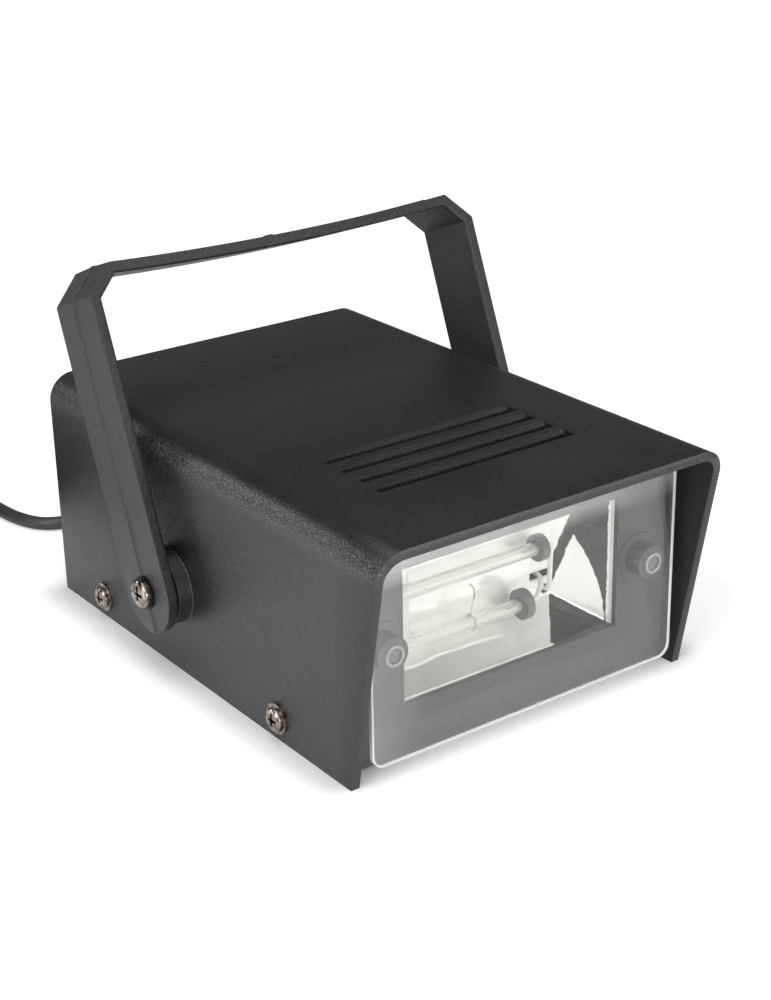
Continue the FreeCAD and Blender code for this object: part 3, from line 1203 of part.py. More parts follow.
# The board comes last, because its holes are noted by the pieces that stand on it.
PIECES = [
    hood, hood_screws, tray, lens, reflector, flash_tube, tube_electrodes, tube_bushings,
    tube_leads, trigger_wire, board_screws, storage_capacitors, doubler_diodes,
    ballast_resistor, trigger_capacitor, trigger_transformer, thyristor, diac, resistors, fuse,
    fuse_clips, speed_pot, pot_shaft, pot_nut, speed_knob, pot_leads, strain_relief, mains_leads,
    mains_cord_run, mains_cord_coil, plug_body, plug_pins, handle, pivot_screws, pivot_washers,
    friction_washers, pivot_nuts, circuit_board,
]

os.makedirs("parts", exist_ok=True)
for piece in PIECES:
    shape = piece()
    print(f"{piece.__name__}: {len(shape.Solids)} solid(s), {shape.Volume:.1f} mm3, "
          f"valid {shape.isValid()}")
    shape.exportStep(f"parts/{piece.__name__}.step")
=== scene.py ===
"""Finish and fine shapes of a small xenon stroboscope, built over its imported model.

Metres, in the model's own frame: X across the lamp, +Y to its rear, +Z up.  The lamp stands on the
floor at z = 0 and throws its light towards -Y.
"""
import json
import math

import bmesh
import bpy
import numpy as np
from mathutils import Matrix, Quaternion, Vector


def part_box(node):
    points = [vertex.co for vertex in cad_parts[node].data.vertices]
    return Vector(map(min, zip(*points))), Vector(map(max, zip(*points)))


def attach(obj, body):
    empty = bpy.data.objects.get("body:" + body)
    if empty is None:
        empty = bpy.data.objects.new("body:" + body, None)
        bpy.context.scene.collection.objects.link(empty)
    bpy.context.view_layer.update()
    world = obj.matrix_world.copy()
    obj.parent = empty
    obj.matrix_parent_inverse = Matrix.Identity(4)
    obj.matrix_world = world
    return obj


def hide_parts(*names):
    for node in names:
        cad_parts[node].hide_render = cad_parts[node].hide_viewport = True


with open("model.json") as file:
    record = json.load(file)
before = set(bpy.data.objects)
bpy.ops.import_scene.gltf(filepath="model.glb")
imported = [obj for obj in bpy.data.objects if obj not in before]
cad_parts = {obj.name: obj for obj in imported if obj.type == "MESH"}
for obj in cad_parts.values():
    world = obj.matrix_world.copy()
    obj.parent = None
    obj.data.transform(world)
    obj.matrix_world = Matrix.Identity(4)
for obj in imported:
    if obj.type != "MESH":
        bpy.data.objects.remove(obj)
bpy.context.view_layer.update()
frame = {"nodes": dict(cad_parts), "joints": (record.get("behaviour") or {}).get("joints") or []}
scene = bpy.context.scene
scene.view_settings.view_transform = "Standard"

# --- camera -----------------------------------------------------------------------------------
# A short telephoto lens to the left of the lamp's front and a little above it, so that the front
# plate, the left side and the roof all show.
CAMERA_TARGET = Vector((0.01447, 0.00305, 0.0400))
CAMERA_DISTANCE = 0.63687
CAMERA_AZIMUTH = math.radians(-35.993)      # 0 looks along +Y
CAMERA_ELEVATION = math.radians(22.918)
CAMERA_ROLL = math.radians(-1.133)
CAMERA_LENS = 68.145                        # mm, on a sensor whose long side is 36 mm

level = math.cos(CAMERA_ELEVATION)
away = Vector((math.sin(CAMERA_AZIMUTH) * level, -math.cos(CAMERA_AZIMUTH) * level,
               math.sin(CAMERA_ELEVATION)))
lens_data = bpy.data.cameras.new("camera")
lens_data.sensor_width = 36.0
lens_data.lens = CAMERA_LENS
lens_data.clip_start = 0.01
camera = bpy.data.objects.new("camera", lens_data)
camera.rotation_mode = "QUATERNION"
camera.location = CAMERA_TARGET + away * CAMERA_DISTANCE
camera.rotation_quaternion = ((-away).to_track_quat("-Z", "Y")
                              @ Quaternion((0, 0, 1), CAMERA_ROLL))
scene.collection.objects.link(camera)
scene.camera = camera


# --- mains lead -------------------------------------------------------------------------------
# Round two-core lead in a black PVC sheath.  It leaves the bush in the rear panel, sinks to the
# floor and swings out past the lamp's left side to its stored coil and the plug.
MM = 0.001
CORD_DIAMETER = 5.0 * MM
CORD_ROUTE = [
    (2.5, 98.75, 12.0), (2.5, 112.7, 11.2), (-4.0, 124.0, 8.4), (-16.8, 130.3, 5.2),
    (-31.5, 131.1, 3.1), (-47.0, 135.1, 2.5), (-53.4, 146.6, 2.5), (-55.4, 162.6, 2.5),
    (-55.3, 178.0, 2.5),
]
PLUG_ROUTE = [(-121.3, 183.0, 17.5), (-121.8, 171.5, 15.8), (-121.8, 160.0, 10.4),
              (-121.3, 148.5, 6.85)]
COIL_CENTRE = (-88.3, 184.0)
COIL_OUTER_TURN = 33.0
COIL_INNER_TURN = 23.6
COIL_TURNS = 7.5
COIL_LAYERS = 4
POINTS_PER_TURN = 16
LAYER_CLIMB = 0.08                          # share of a layer in which the lead steps up


def linear(colour):
    """sRGB hex as linear RGBA: each channel to the power 2.4 above the curve's straight toe."""
    channels = [int(colour[i:i + 2], 16) / 255 for i in (0, 2, 4)]
    return (*[c / 12.92 if c <= 0.04045 else ((c + 0.055) / 1.055) ** 2.4 for c in channels], 1.0)


def add(tree, kind, inputs=None, **settings):
    """Adds a node, sets its own settings and gives each named input its value or its link."""
    node = tree.nodes.new("ShaderNode" + kind)
    for name, value in settings.items():
        setattr(node, name, value)
    for name, value in (inputs or {}).items():
        if isinstance(value, bpy.types.NodeSocket):
            tree.links.new(value, node.inputs[name])
        else:
            node.inputs[name].default_value = value
    return node


def new_material(name):
    """An empty node material: the material, its tree, and its object coordinates."""
    made = bpy.data.materials.new(name)
    made.use_nodes = True
    made.node_tree.nodes.clear()
    return made, made.node_tree, add(made.node_tree, "TexCoord").outputs["Object"]


def finish_material(tree, colour, roughness, normal, **others):
    """Gives the material a Principled shader with these inputs."""
    body = add(tree, "BsdfPrincipled", {"Base Color": colour, "Roughness": roughness,
                                        "Normal": normal, **others})
    add(tree, "OutputMaterial", {"Surface": body.outputs[0]})


def noise(tree, place, size, detail):
    """Cloudy noise whose patches have about this size."""
    return add(tree, "TexNoise", {"Vector": place, "Scale": 1 / size,
                                  "Detail": detail}).outputs["Fac"]


def span(tree, value, start, end, low=0.0, high=1.0, kind="LINEAR"):
    """A value that runs from low to high while another runs from start to end."""
    return add(tree, "MapRange", {"Value": value, "From Min": start, "From Max": end,
                                  "To Min": low, "To Max": high},
               interpolation_type=kind).outputs["Result"]


def ramp(tree, factor, low, high, start=0.0, end=1.0):
    """Runs from one sRGB colour to another between two places of the factor."""
    node = add(tree, "ValToRGB", {"Fac": factor})
    for stop, position, colour in zip(node.color_ramp.elements, (start, end), (low, high)):
        stop.position = position
        stop.color = linear(colour)
    return node.outputs["Color"]


def bump(tree, height, strength, distance):
    """Normal of a skin with this relief."""
    return add(tree, "Bump", {"Height": height, "Strength": strength,
                              "Distance": distance}).outputs["Normal"]


def coil_points():
    """Turns of the coil: an angle that grows evenly, a radius that swings between the outer and the
    inner turn once in two layers, and a height that steps up one diameter where a layer ends."""
    share = np.linspace(0, 1, int(COIL_TURNS * POINTS_PER_TURN) + 1)
    angle = 2 * np.pi * COIL_TURNS * share
    layer = COIL_LAYERS * share
    swing = np.abs((layer + 1) % 2 - 1)
    radius = COIL_INNER_TURN + (COIL_OUTER_TURN - COIL_INNER_TURN) * swing
    step = np.clip((layer % 1 - (1 - LAYER_CLIMB)) / LAYER_CLIMB, 0, 1)
    height = CORD_DIAMETER / MM * np.minimum(np.floor(layer) + step + 0.5, COIL_LAYERS - 0.5)
    return np.stack([COIL_CENTRE[0] + radius * np.cos(angle),
                     COIL_CENTRE[1] + radius * np.sin(angle), height], 1)


def black_pvc():
    """Plasticised PVC, extruded: black, satin, with faint flow lines and a soft sheen."""
    made, tree, place = new_material("black_pvc")
    mottle = noise(tree, place, 6 * MM, 4.0)
    skin = noise(tree, place, 0.5 * MM, 2.0)
    finish_material(tree, ramp(tree, mottle, "363637", "454546"),
                    span(tree, mottle, 0.0, 1.0, 0.36, 0.5),
                    bump(tree, skin, 0.15, 0.05 * MM), IOR=1.53)
    return made


BLACK_PVC = black_pvc()
cord_points = np.array(CORD_ROUTE + coil_points().tolist() + PLUG_ROUTE) * MM
cord_curve = bpy.data.curves.new("mains_lead", "CURVE")
cord_curve.dimensions = "3D"
cord_curve.bevel_depth = CORD_DIAMETER / 2
cord_curve.bevel_resolution = 6
cord_curve.resolution_u = 6
cord_curve.use_fill_caps = True
spline = cord_curve.splines.new("NURBS")
spline.points.add(len(cord_points) - 1)
spline.points.foreach_set("co", np.column_stack([cord_points, np.ones(len(cord_points))]).ravel())
spline.order_u = 3
spline.use_endpoint_u = True
spline.use_smooth = True
mains_lead = bpy.data.objects.new("mains_lead", cord_curve)
mains_lead.data.materials.append(BLACK_PVC)
scene.collection.objects.link(mains_lead)
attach(mains_lead, "housing")
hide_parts("mains_cord_run", "mains_cord_coil")


# --- strain relief ----------------------------------------------------------------------------
# Soft PVC bush that snaps into the rear panel and tapers along the lead, with grooves cut round it
# so that it bends with the lead.
RELIEF_SEGMENTS = 40
RELIEF_GROOVES = 5
relief_low, relief_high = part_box("strain_relief")
relief_x = (relief_low.x + relief_high.x) / 2
relief_z = (relief_low.z + relief_high.z) / 2
panel_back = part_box("tray")[1].y
relief_flange = relief_high.x - relief_x


def surface(points, around=False, keep=None):
    """Vertices and quads of a grid of points: each cell's four corners, with the last column joined
    to the first where it goes around, and only the cells that keep marks."""
    rows, columns = points.shape[:2]
    index = np.arange(rows * columns).reshape(rows, columns)
    if around:
        index = np.concatenate([index, index[:, :1]], 1)
    quads = np.stack([index[:-1, :-1], index[1:, :-1], index[1:, 1:], index[:-1, 1:]], -1)
    quads = quads.reshape(-1, 4) if keep is None else quads[keep]
    return points.reshape(-1, 3), quads


def turned(profile, start, axis, segments=48):
    """Surface of revolution: each (radius, height) of the profile swept round the axis through
    start.  A profile that starts and ends on the axis, or on itself, closes the shape."""
    axis = np.array(axis, float) / np.linalg.norm(axis)
    side = np.cross(axis, (0, 0, 1) if abs(axis[2]) < 0.9 else (1, 0, 0))
    side /= np.linalg.norm(side)
    across = np.cross(axis, side)
    profile = np.array(profile, float)
    angle = 2 * np.pi * np.arange(segments) / segments
    ring = np.cos(angle)[:, None] * side + np.sin(angle)[:, None] * across
    points = (np.array(start, float) + profile[:, 1, None, None] * axis
              + profile[:, 0, None, None] * ring)
    return surface(points, around=True)


def piece(name, parts, smooth_below=35.0):
    """One object from several (vertices, faces): doubles merged, faces turned outwards, and shaded
    smooth except at edges that fold by more than smooth_below degrees."""
    starts = np.cumsum([0] + [len(vertices) for vertices, faces in parts])
    faces = np.concatenate([faces + start for (vertices, faces), start in zip(parts, starts)])
    mesh = bpy.data.meshes.new(name)
    mesh.from_pydata(np.concatenate([vertices for vertices, faces in parts]), [], faces.tolist())
    shape = bmesh.new()
    shape.from_mesh(mesh)
    bmesh.ops.remove_doubles(shape, verts=shape.verts, dist=1e-6)
    bmesh.ops.dissolve_degenerate(shape, edges=shape.edges, dist=1e-7)
    bmesh.ops.recalc_face_normals(shape, faces=shape.faces)
    shape.to_mesh(mesh)
    shape.free()
    mesh.shade_smooth()
    mesh.set_sharp_from_angle(angle=math.radians(smooth_below))
    made = bpy.data.objects.new(name, mesh)
    scene.collection.objects.link(made)
    return made


def dress(made, finish, body, slot, *nodes):
    """Gives a piece its material and its body, and hides the nodes that it stands for.  The slot is
    not used.
    """
    if made.data.materials:
        made.data.materials[0] = finish
    else:
        made.data.materials.append(finish)
    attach(made, body)
    if nodes:
        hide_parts(*nodes)
    return made


def relief_profile():
    """Catch, neck and flange, then a cone whose radius dips by a raised cosine at each groove."""
    inside = panel_back - relief_low.y
    root = 4.4 * MM
    tip = 3.1 * MM
    flange = 2.0 * MM
    length = relief_high.y - panel_back
    along = np.linspace(flange, length, 12 * RELIEF_GROOVES + 1)
    share = (along - flange) / (length - flange)
    dips = np.clip(np.cos(2 * np.pi * RELIEF_GROOVES * share + np.pi), 0, 1)
    radius = root + (tip - root) * share - 0.7 * MM * dips * (share < 0.93)
    rounding = 0.4 * MM
    return ([(0, -inside), (5.0 * MM, -inside), (5.4 * MM, 0.5 * MM - inside),
             (5.4 * MM, -2.0 * MM), (root, -2.0 * MM), (root, 0), (relief_flange, 0),
             (relief_flange, flange - rounding),
             (relief_flange - rounding, flange)] + list(zip(radius, along))
            + [(tip - rounding, length), (0, length)])


strain_bush = piece("strain_bush", [turned(relief_profile(), (relief_x, panel_back, relief_z),
                                           (0, 1, 0), RELIEF_SEGMENTS)])
dress(strain_bush, BLACK_PVC, "housing", "cord_pvc", "strain_relief")


# --- mains plug -------------------------------------------------------------------------------
# Flat two-pin plug moulded onto the lead in soft PVC, with finger ribs on its waist, and brass pins
# plated with nickel whose inner halves wear a plastic sleeve.
PLUG_SECTION_POINTS = 48
PLUG_RIBS = 5
plug_low, plug_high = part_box("plug_body")
plug_x = (plug_low.x + plug_high.x) / 2
plug_z = (plug_low.z + plug_high.z) / 2


def plug_surface():
    """Superellipse sections along the plug: the width eases from the grip to the neck by a raised
    cosine, the power from nearly square to round, and shallow ribs ride on the shoulder."""
    length = plug_high.y - plug_low.y
    half_width = (plug_high.x - plug_low.x) / 2
    half_height = (plug_high.z - plug_low.z) / 2
    neck = 4.6 * MM
    tail = 3.1 * MM
    share = np.concatenate([[0, 0, 0.02, 0.05], np.linspace(0.08, 1, 60), [1]])
    ease = 0.5 - 0.5 * np.cos(np.pi * np.clip((share - 0.40) / 0.34, 0, 1))
    taper = np.clip((share - 0.74) / 0.26, 0, 1)
    edge = np.array([0.0, 0.90, 0.985] + [1.0] * (len(share) - 3))
    ribs = 1 - 0.05 * (np.sin(np.pi * np.clip((share - 0.12) / 0.44, 0, 1) * 2 * PLUG_RIBS) ** 2
                       * (share > 0.12) * (share < 0.56))
    width = (half_width + (neck - half_width) * ease + (tail - neck) * taper) * edge
    height = (half_height + (neck - half_height) * ease + (tail - neck) * taper) * edge * ribs
    power = 2 / (5.0 - 3.0 * np.maximum(ease, taper))
    width[-1] = height[-1] = 0
    angle = 2 * np.pi * np.arange(PLUG_SECTION_POINTS) / PLUG_SECTION_POINTS
    cosine = np.sign(np.cos(angle)) * np.abs(np.cos(angle)) ** power[:, None]
    sine = np.sign(np.sin(angle)) * np.abs(np.sin(angle)) ** power[:, None]
    return surface(np.stack([
        plug_x + width[:, None] * cosine,
        np.broadcast_to((plug_low.y + length * share)[:, None], cosine.shape),
        plug_z + height[:, None] * sine], -1), around=True)


plug_grip = piece("plug_grip", [plug_surface()])
dress(plug_grip, BLACK_PVC, "housing", "plug_pvc", "plug_body")


def blend(tree, factor, first, second):
    """Mixes two colours."""
    return add(tree, "Mix", {"Factor": factor, 6: first, 7: second}, data_type="RGBA").outputs[2]


def bright_plating(name, shadow, light, roughness, grain, grime_and_shade=None):
    """Plated metal: a warm grey reflection that shifts a little from spot to spot, over fine marks
    left by turning or pressing, and, where a colour for it is given, dark dirt with painted shade
    in its hollows, laid where ambient occlusion finds them."""
    made, tree, place = new_material(name)
    cloud = noise(tree, place, 2.5 * MM, 3.0)
    shade = ramp(tree, cloud, shadow, light, 0.35, 0.65)
    if grime_and_shade:
        # Painted shade with dirt: the hollows' colour darkens where ambient occlusion is found.
        hollow = add(tree, "AmbientOcclusion", {"Distance": 1.6 * MM}, samples=12, only_local=True)
        cover = span(tree, hollow.outputs["AO"], 0.35, 0.85)
        shade = blend(tree, cover, linear(grime_and_shade), shade)
    gloss = span(tree, cloud, 0.3, 0.7, 0.7 * roughness, 1.4 * roughness)
    marks = bump(tree, noise(tree, place, grain, 2.0), 0.12, 0.03 * MM)
    finish_material(tree, shade, gloss, marks, Metallic=1.0)
    return made


NICKEL_PLATE = bright_plating("nickel_plated_steel", "8d8078", "cfc6bd", 0.2, 0.3 * MM)


def ease_edges(made, name, width, segments, fold=None):
    """Rounds off the edges that fold by more than fold degrees, or else the weighted ones."""
    ease = made.modifiers.new(name, "BEVEL")
    ease.width = width
    ease.segments = segments
    ease.limit_method = "ANGLE" if fold else "WEIGHT"
    if fold:
        ease.angle_limit = math.radians(fold)
    ease.harden_normals = True


def eased_copy(name, node, width, segments=2, fold=30.0):
    """Copy of a node with its doubles merged and flat triangles joined, and every edge that folds
    by more than fold degrees rounded off by width."""
    shape = bmesh.new()
    shape.from_mesh(frame["nodes"][node].data)
    bmesh.ops.remove_doubles(shape, verts=shape.verts, dist=2e-6)
    bmesh.ops.dissolve_limit(shape, angle_limit=math.radians(0.5), verts=shape.verts,
                             edges=shape.edges)
    mesh = bpy.data.meshes.new(name)
    shape.to_mesh(mesh)
    shape.free()
    mesh.shade_smooth()
    mesh.set_sharp_from_angle(angle=math.radians(fold))
    made = bpy.data.objects.new(name, mesh)
    scene.collection.objects.link(made)
    ease_edges(made, "eased_edges", width, segments, fold)
    return made


plug_contacts = eased_copy("plug_contacts", "plug_pins", 0.06 * MM)
dress(plug_contacts, NICKEL_PLATE, "housing", "nickel_steel", "plug_pins")


# --- floor, background and lights -------------------------------------------------------------
# A white table in a white studio: a soft box above, a larger one up on the left, and two low strips
# that graze the table from the left and from the front.  The room is dim behind the lamp, and its
# black skin mostly mirrors the table.
FLOOR_REACH = 4.0
ROOM_DIM = 0.16
ROOM_TOP = 0.06
ROOM_BRIGHT = 0.85
BRIGHT_SIDE = Vector((0.1, -1.0, 0.3)).normalized()
FOOTPRINT_MIDDLE = Vector((0.0, 0.0015, 0.0))
FOOTPRINT_HALF = Vector((0.0655, 0.0815, 1.0))
# The table's glow for the eye is held back near the lamp's footprint, so the dark rim there is real
# shadow deepened by painted shadow.
SHADOW_REACH = 0.015                        # width of the dark rim where the lamp stands
WHITE_REACH = 0.3                           # from there on the table is plain white to the eye
RIM_LIFT = 0.38                             # light that the table adds for the eye past the rim,
FAR_LIFT = 0.62                             # and what it gains on the way to plain white
MIRROR_SHARE = 0.2                          # share of that light that reflections show too
# Painted shade: the table's own colour greys with distance from the lamp, for dimmer light on the
# far table, which the lamp sees in its bounce light and reflections.
PAINTED_SHADE_REACH = (0.11, 0.27)                # clearance over which the paint turns grey


def calc(tree, kind, *values):
    """One step of arithmetic on plain values."""
    return add(tree, "Math", dict(enumerate(values)), operation=kind).outputs[0]


def vector_calc(tree, kind, *values):
    """One step of arithmetic on vectors."""
    node = add(tree, "VectorMath", dict(enumerate(values)), operation=kind)
    return node.outputs["Value" if kind in ("LENGTH", "DOT_PRODUCT") else "Vector"]


def distance_past(tree, place, middle, half):
    """Distance of a point from a box round the middle, 0 inside it."""
    reach = vector_calc(tree, "ABSOLUTE", vector_calc(tree, "SUBTRACT", place, middle))
    outside = vector_calc(tree, "MAXIMUM", vector_calc(tree, "SUBTRACT", reach, half), Vector())
    return vector_calc(tree, "LENGTH", outside)


def unreflected(tree):
    """1 for what the eye sees directly or through clear plastic, 0 for light and reflections."""
    rays = add(tree, "LightPath").outputs
    direct = calc(tree, "LESS_THAN", rays["Glossy Depth"], 0.5)
    through = calc(tree, "MULTIPLY", rays["Is Transmission Ray"], direct)
    return calc(tree, "MAXIMUM", rays["Is Camera Ray"], through)


floor = piece("floor", [(np.array([(-1, -1, 0), (1, -1, 0), (1, 1, 0), (-1, 1, 0)]) * FLOOR_REACH,
                         np.array([(0, 1, 2, 3)]))])
paint, tree, place = new_material("white_table")
# Glow for the eye rises with distance from the footprint: the rim keeps painted shadow over the
# real one, and far off the table is plain white.
clear = distance_past(tree, place, FOOTPRINT_MIDDLE, FOOTPRINT_HALF)
rim = span(tree, clear, 0.0, SHADOW_REACH, 0.0, RIM_LIFT, "SMOOTHSTEP")
fade = span(tree, clear, SHADOW_REACH, WHITE_REACH, 0.0, FAR_LIFT, "SMOOTHSTEP")
mirrored = calc(tree, "MULTIPLY", add(tree, "LightPath").outputs["Is Glossy Ray"], MIRROR_SHARE)
visible = calc(tree, "MAXIMUM", unreflected(tree), mirrored)
shown = calc(tree, "MULTIPLY", visible, calc(tree, "ADD", rim, fade))
# The colour greys away from the lamp as painted shade.
paint_body = add(tree, "BsdfPrincipled", {
    "Base Color": ramp(tree, span(tree, clear, *PAINTED_SHADE_REACH), "f4f4f4", "707070"),
    "Roughness": 0.9, "Specular IOR Level": 0.0, "Emission Color": linear("ffffff"),
    "Emission Strength": shown})
add(tree, "OutputMaterial", {"Surface": paint_body.outputs[0]})
floor.data.materials.append(paint)

studio = bpy.data.worlds.new("studio")
studio.use_nodes = True
scene.world = studio
tree = studio.node_tree
tree.nodes.clear()
direction = add(tree, "TexCoord").outputs["Generated"]
height = add(tree, "SeparateXYZ", {"Vector": direction}).outputs["Z"]
back_wall = span(tree, height, 0.40, 0.62, ROOM_DIM, ROOM_TOP, "SMOOTHSTEP")
room = span(tree, vector_calc(tree, "DOT_PRODUCT", direction, BRIGHT_SIDE), 0.35, 0.95, back_wall,
            ROOM_BRIGHT, "SMOOTHSTEP")
lit_room = add(tree, "Background", {"Color": linear("ffffff"), "Strength": room})
white = add(tree, "Background", {"Color": linear("ffffff"), "Strength": 1.0})
shown = add(tree, "MixShader", {0: unreflected(tree), 1: lit_room.outputs[0], 2: white.outputs[0]})
add(tree, "OutputWorld", {"Surface": shown.outputs[0]})


def diffuser(name, place, aim, width, height, watts):
    """Flat diffuser at place that faces aim."""
    data = bpy.data.lights.new(name, "AREA")
    data.shape = "RECTANGLE"
    data.size = width
    data.size_y = height
    data.energy = watts
    made = bpy.data.objects.new(name, data)
    made.location = place
    made.rotation_mode = "QUATERNION"
    made.rotation_quaternion = (Vector(aim) - Vector(place)).to_track_quat("-Z", "Y")
    made.visible_camera = False
    scene.collection.objects.link(made)


diffuser("top_box", (0.0, -0.05, 0.9), (0.0, -0.05, 0.0), 0.7, 0.7, 3.0)
diffuser("upper_left_box", (-0.7, -0.3, 0.7), (0.0, 0.0, 0.0), 0.6, 0.6, 4.4)
diffuser("left_strip", (-0.26, 0.09, 0.05), (0.0, 0.08, 0.045), 0.40, 0.10, 0.17)
diffuser("rear_left_box", (-0.50, 0.75, 0.42), (0.0, 0.0, 0.06), 0.26, 0.28, 0.9)
diffuser("front_strip", (0.02, -0.30, 0.05), (0.02, 0.0, 0.045), 0.40, 0.10, 0.37)


# --- hood -------------------------------------------------------------------------------------
# Inverted U of black ABS, moulded in a spark-eroded cavity, so its skin is finely pitted.  It has
# slanted cheeks and a lip in front, four vents in the roof and a round boss for each pivot.
HOOD_HALF_WIDTH = 65.0 * MM
HOOD_WALL = 3.0 * MM
HOOD_EDGE_RADIUS = 9.0 * MM
HOOD_OVERHANG = 15.5 * MM
VENT_HALF_LENGTH = 37.0 * MM
VENT_WIDTH = 4.5 * MM
VENT_PITCH = 9.15 * MM
VENT_COUNT = 4
VENT_BACK = -33.9 * MM
VENT_BACKS = VENT_BACK - VENT_PITCH * np.arange(VENT_COUNT)
VENT_EASE = 2.4 * MM                        # the vents' rear edges are rounded over
EDGE_EASE = 0.35 * MM                       # broken edges of the moulding
PIVOT_BOSS_RADIUS = 12.4 * MM
PAINTED_GLINT_COLOUR = "8c8c8c"
GLINT_BAND_X = (61.2 * MM, 63.0 * MM)         # where the dense painted glints of the roundings' highlight band set in
GLINT_BAND_Z = (68.0 * MM, 73.0 * MM)
PIT_SIZE = 0.5 * MM                         # real pits are a third of that, too fine to show
hood_low, hood_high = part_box("hood")
pivot = Vector(frame["joints"][0]["pos_m"])


def hood_shell():
    """Section points go up the left wall, round a quarter circle, across the roof, round another
    and down; rows run front to back.  The first row leans with height, and the cells of the vents
    are left out."""
    height = hood_high.z
    flat = HOOD_HALF_WIDTH - HOOD_EDGE_RADIUS
    shoulder = height - HOOD_EDGE_RADIUS
    turn = np.linspace(0, np.pi / 2, 13)[1:-1]
    wall_z = np.linspace(0, shoulder, 7)
    roof_x = np.array([-flat, -VENT_HALF_LENGTH, -VENT_HALF_LENGTH / 2, 0, VENT_HALF_LENGTH / 2,
                       VENT_HALF_LENGTH, flat])
    x = np.concatenate([np.full(7, -HOOD_HALF_WIDTH), -flat - HOOD_EDGE_RADIUS * np.cos(turn),
                        roof_x, flat + HOOD_EDGE_RADIUS * np.sin(turn),
                        np.full(7, HOOD_HALF_WIDTH)])
    z = np.concatenate([wall_z, shoulder + HOOD_EDGE_RADIUS * np.sin(turn), np.full(7, height),
                        shoulder + HOOD_EDGE_RADIUS * np.cos(turn), wall_z[::-1]])
    rows = np.sort(np.concatenate([VENT_BACKS, VENT_BACKS - VENT_WIDTH,
                                   [-80 * MM, 0, hood_high.y / 2, hood_high.y]]))
    lip = hood_low.y + HOOD_OVERHANG * (1 - z / height)
    y = np.vstack([lip, np.repeat(rows[:, None], len(x), 1)])
    points = np.stack([np.broadcast_to(x, y.shape), y, np.broadcast_to(z, y.shape)], -1)
    middle = (points[:-1, :-1] + points[1:, 1:]) / 2
    backs = VENT_BACKS[:, None, None]
    in_slot = ((backs - VENT_WIDTH < middle[..., 1]) & (middle[..., 1] < backs)).any(0)
    vent = in_slot & (np.abs(middle[..., 0]) < VENT_HALF_LENGTH) & (middle[..., 2] > shoulder)
    return surface(points, keep=~vent)


def moulded_plastic(name, low, high, roughness, pits, relief=0.9, painted_glints=0.0, edge_painted_glints=0.0):
    """Moulded plastic: a slow drift of shade and gloss over a fine pitted skin.  The glints on the
    pits' rims are painted as pale flecks in the base colour, thinly everywhere and densely in the
    band along the hood's long roundings where their highlight falls."""
    made, tree, place = new_material(name)
    cloud = noise(tree, place, 25 * MM, 5.0)
    shade = ramp(tree, cloud, low, high, 0.3, 0.7)
    gloss = span(tree, cloud, 0.3, 0.7, roughness - 0.04, roughness + 0.04)
    grain = noise(tree, place, pits, 1.0)
    # Painted glints: pale flecks mixed into the colour, densest on the roundings' highlight band.
    if painted_glints:
        reach = add(tree, "SeparateXYZ", {"Vector": vector_calc(tree, "ABSOLUTE", place)}).outputs
        outer = span(tree, reach["X"], *GLINT_BAND_X, 0.0, edge_painted_glints)
        upper = span(tree, reach["Z"], *GLINT_BAND_Z)
        density = calc(tree, "MULTIPLY_ADD", outer, upper, painted_glints)
        glint = span(tree, grain, 0.45, 0.7, 0.0, density)
        shade = blend(tree, glint, shade, linear(PAINTED_GLINT_COLOUR))
    finish_material(tree, shade, gloss, bump(tree, grain, relief, 0.75 * pits), IOR=1.54)
    return made


# The hood carries painted glints: pale flecks in its colour, dense on the highlight band of its
# long roundings.
BLACK_ABS = moulded_plastic("moulded_black_abs", "1f1f1f", "252525", 0.28, PIT_SIZE, 0.5,
                            painted_glints=0.03, edge_painted_glints=0.42)
# The hood's inner side gets a darker copy of its black: painted shade for the little light that
# reaches inside, with a more matte finish.
INNER_ABS_PAINTED_SHADE = moulded_plastic("matte_inner_abs_painted_shade", "111111", "161616", 0.6, PIT_SIZE, 0.4)


def boss_profile():
    """Ring from inside the wall to the boss's face: a small fillet at the wall, a straight side, an
    eased edge, the face, and the bore of the pivot screw back to the start."""
    radius = PIVOT_BOSS_RADIUS
    length = hood_high.x - HOOD_HALF_WIDTH
    bore = 2.52 * MM
    sunk = -0.5 * HOOD_WALL
    turn = np.linspace(0, np.pi / 2, 5)
    fillet = [(radius + 0.6 * MM * (1 - math.sin(t)), 0.6 * MM * (1 - math.cos(t))) for t in turn]
    ease = [(radius - EDGE_EASE * (1 - math.cos(t)), length - EDGE_EASE * (1 - math.sin(t)))
            for t in turn]
    start = (radius + 0.6 * MM, sunk)
    return [start] + fillet + ease + [(bore, length), (bore, sunk), start]


hood_skin = piece("hood_skin", [hood_shell()])
wall = hood_skin.modifiers.new("wall", "SOLIDIFY")
wall.thickness = HOOD_WALL
wall.offset = -1.0
wall.use_even_offset = True
# The inner side takes the second material, with its painted shade.
wall.material_offset = 1
hood_skin.data.materials.append(BLACK_ABS)
hood_skin.data.materials.append(INNER_ABS_PAINTED_SHADE)
walled = hood_skin.evaluated_get(bpy.context.evaluated_depsgraph_get())
hood_skin.data = bpy.data.meshes.new_from_object(walled)
hood_skin.modifiers.clear()
shape = bmesh.new()
shape.from_mesh(hood_skin.data)
weight = shape.edges.layers.float.new("bevel_weight_edge")
for edge in shape.edges:
    at_vent = all(abs(v.co.x) < VENT_HALF_LENGTH + 0.1 * MM
                  and v.co.z > hood_high.z - 1.1 * HOOD_WALL
                  and -75 * MM < v.co.y < VENT_BACK + 0.1 * MM for v in edge.verts)
    if at_vent and edge.calc_face_angle(0) > math.radians(40):
        at_rear = any(all(abs(v.co.y - back) < 0.1 * MM and v.co.z > hood_high.z - 0.1 * MM
                          for v in edge.verts) for back in VENT_BACKS)
        edge[weight] = 1.0 if at_rear else 0.25
shape.to_mesh(hood_skin.data)
shape.free()
ease_edges(hood_skin, "vent_edges", VENT_EASE, 5)
